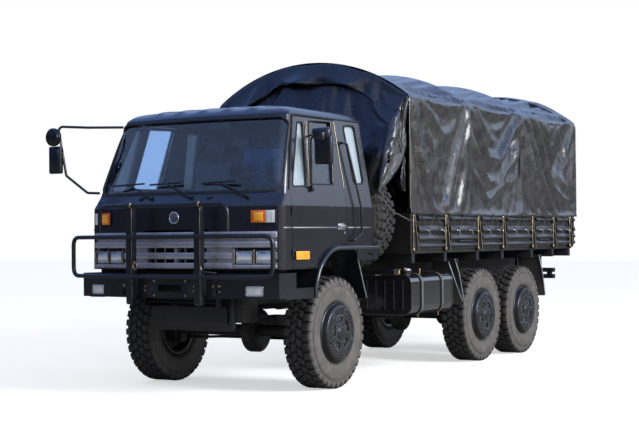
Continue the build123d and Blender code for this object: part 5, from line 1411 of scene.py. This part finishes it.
def make_roll(side):
    """The rolled edge of the curtain between the canopy's corner and the tied tip."""
    points = []
    for step in range(25):
        x, z = on_path(CURTAIN_SIDE[1:], step / 24)
        bulge = crumpled(step * 0.35, side * 2.0, 5.0) * 0.01
        points.append((x + 0.004 + bulge, side * (1.172 - 0.035 * step / 24 + bulge), z))
    roll = tube(points, 0.012, 0, False, 6)
    top, foot = points[0][2], points[-1][2]
    for vertex in roll.data.vertices:
        swell = 0.07 * math.sin(math.pi * clamp((top - vertex.co.z) / (top - foot)) ** 0.8) ** 0.8
        swell += 0.012 * noise.noise(vertex.co * 9)
        swell += 0.004 * noise.noise(vertex.co * 30)
        vertex.co += vertex.normal * swell
    return roll


def make_bunch(side):
    """The laced folds bunched along the canopy's front corner."""
    def shape(part, share):
        wide = 0.09 + 0.03 * math.sin(share * 17)
        turn = part * 5.5 * math.pi
        out = 1.165 + 0.03 * math.sin(turn + 5 * share) + 0.012 * crumpled(part * 9, share * 14, side)
        return -1.345 + wide * part + 0.02 * crumpled(part * 4, share * 8, 9.0), side * out, 2.93 - 0.95 * share

    return grid("bunch", 26, 44, shape)


# The left tie, from the curtain's low corner back to the bed's side, and its knot round the corner
TIE_RUN = ((-0.836, 1.15, 1.955), (-0.9, 1.165, 1.86), (-1.02, 1.2, 1.76), (-1.2, 1.235, 1.7), (-1.36, 1.245, 1.66))
TIE_KNOT = ((-0.85, 1.12, 1.99), (-0.822, 1.15, 1.965), (-0.85, 1.17, 1.94), (-0.876, 1.15, 1.965))
for side_name, side in SIDES:
    # The bunched folds take the darker cloth, a painted shade; the flap keeps the canopy's cloth
    for name, piece, finish, flat, held_as in (("flap", make_gather(side), "canopy_cloth", (0.95, 0.30), "folded"),
                                               ("bunch", make_bunch(side), "shaded_cloth", (1.00, 0.50), "gathered")):
        fit(piece, f"curtain_{name}_{side_name}", finish)
    fit(make_roll(side), f"curtain_roll_{side_name}", "canopy_cloth")
    fit([tube([(x, side * y, z) for x, y, z in TIE_RUN], 0.007, 0.05),
         tube([(x, side * y, z) for x, y, z in TIE_KNOT], 0.008, 0.012, True)],
        f"curtain_tie_{side_name}", "rope_fibre")


def rear_point(part, share):
    """The rear curtain, which closes the canopy down to the tailgate."""
    y = BED_HALF_WIDTH * part * 0.995
    top = arch_point(y) - 0.006
    z = top + (HEM_Z + 0.005 - top) * share
    swing = y * 15 + 1.8 * crumpled(y * 2, share * 2, 1.0)
    pleat = (0.022 * math.sin(swing) + 0.008 * math.sin(swing * 2.3)) * math.sin(share * math.pi) ** 0.5
    return (CANOPY_REAR_X + 0.002 + pleat, y, z), (CANOPY_REAR_X, y * 1.03, z)


rear_curtain = curtain_like("rear_curtain", 84, 44, rear_point, 10, 2.0, 12)
fit(rear_curtain, "rear_curtain", "canopy_cloth")
piping = [tube([(x, 1.2375, 1.8), (x, 1.2375, 2.955)], 0.0035, 0)
          for x in (BED_FRONT_X + 0.004, CANOPY_REAR_X - 0.004)]
fit(pair(piping), "canopy_piping", "pale_trim_and_highlight", slot="canopy_cloth")
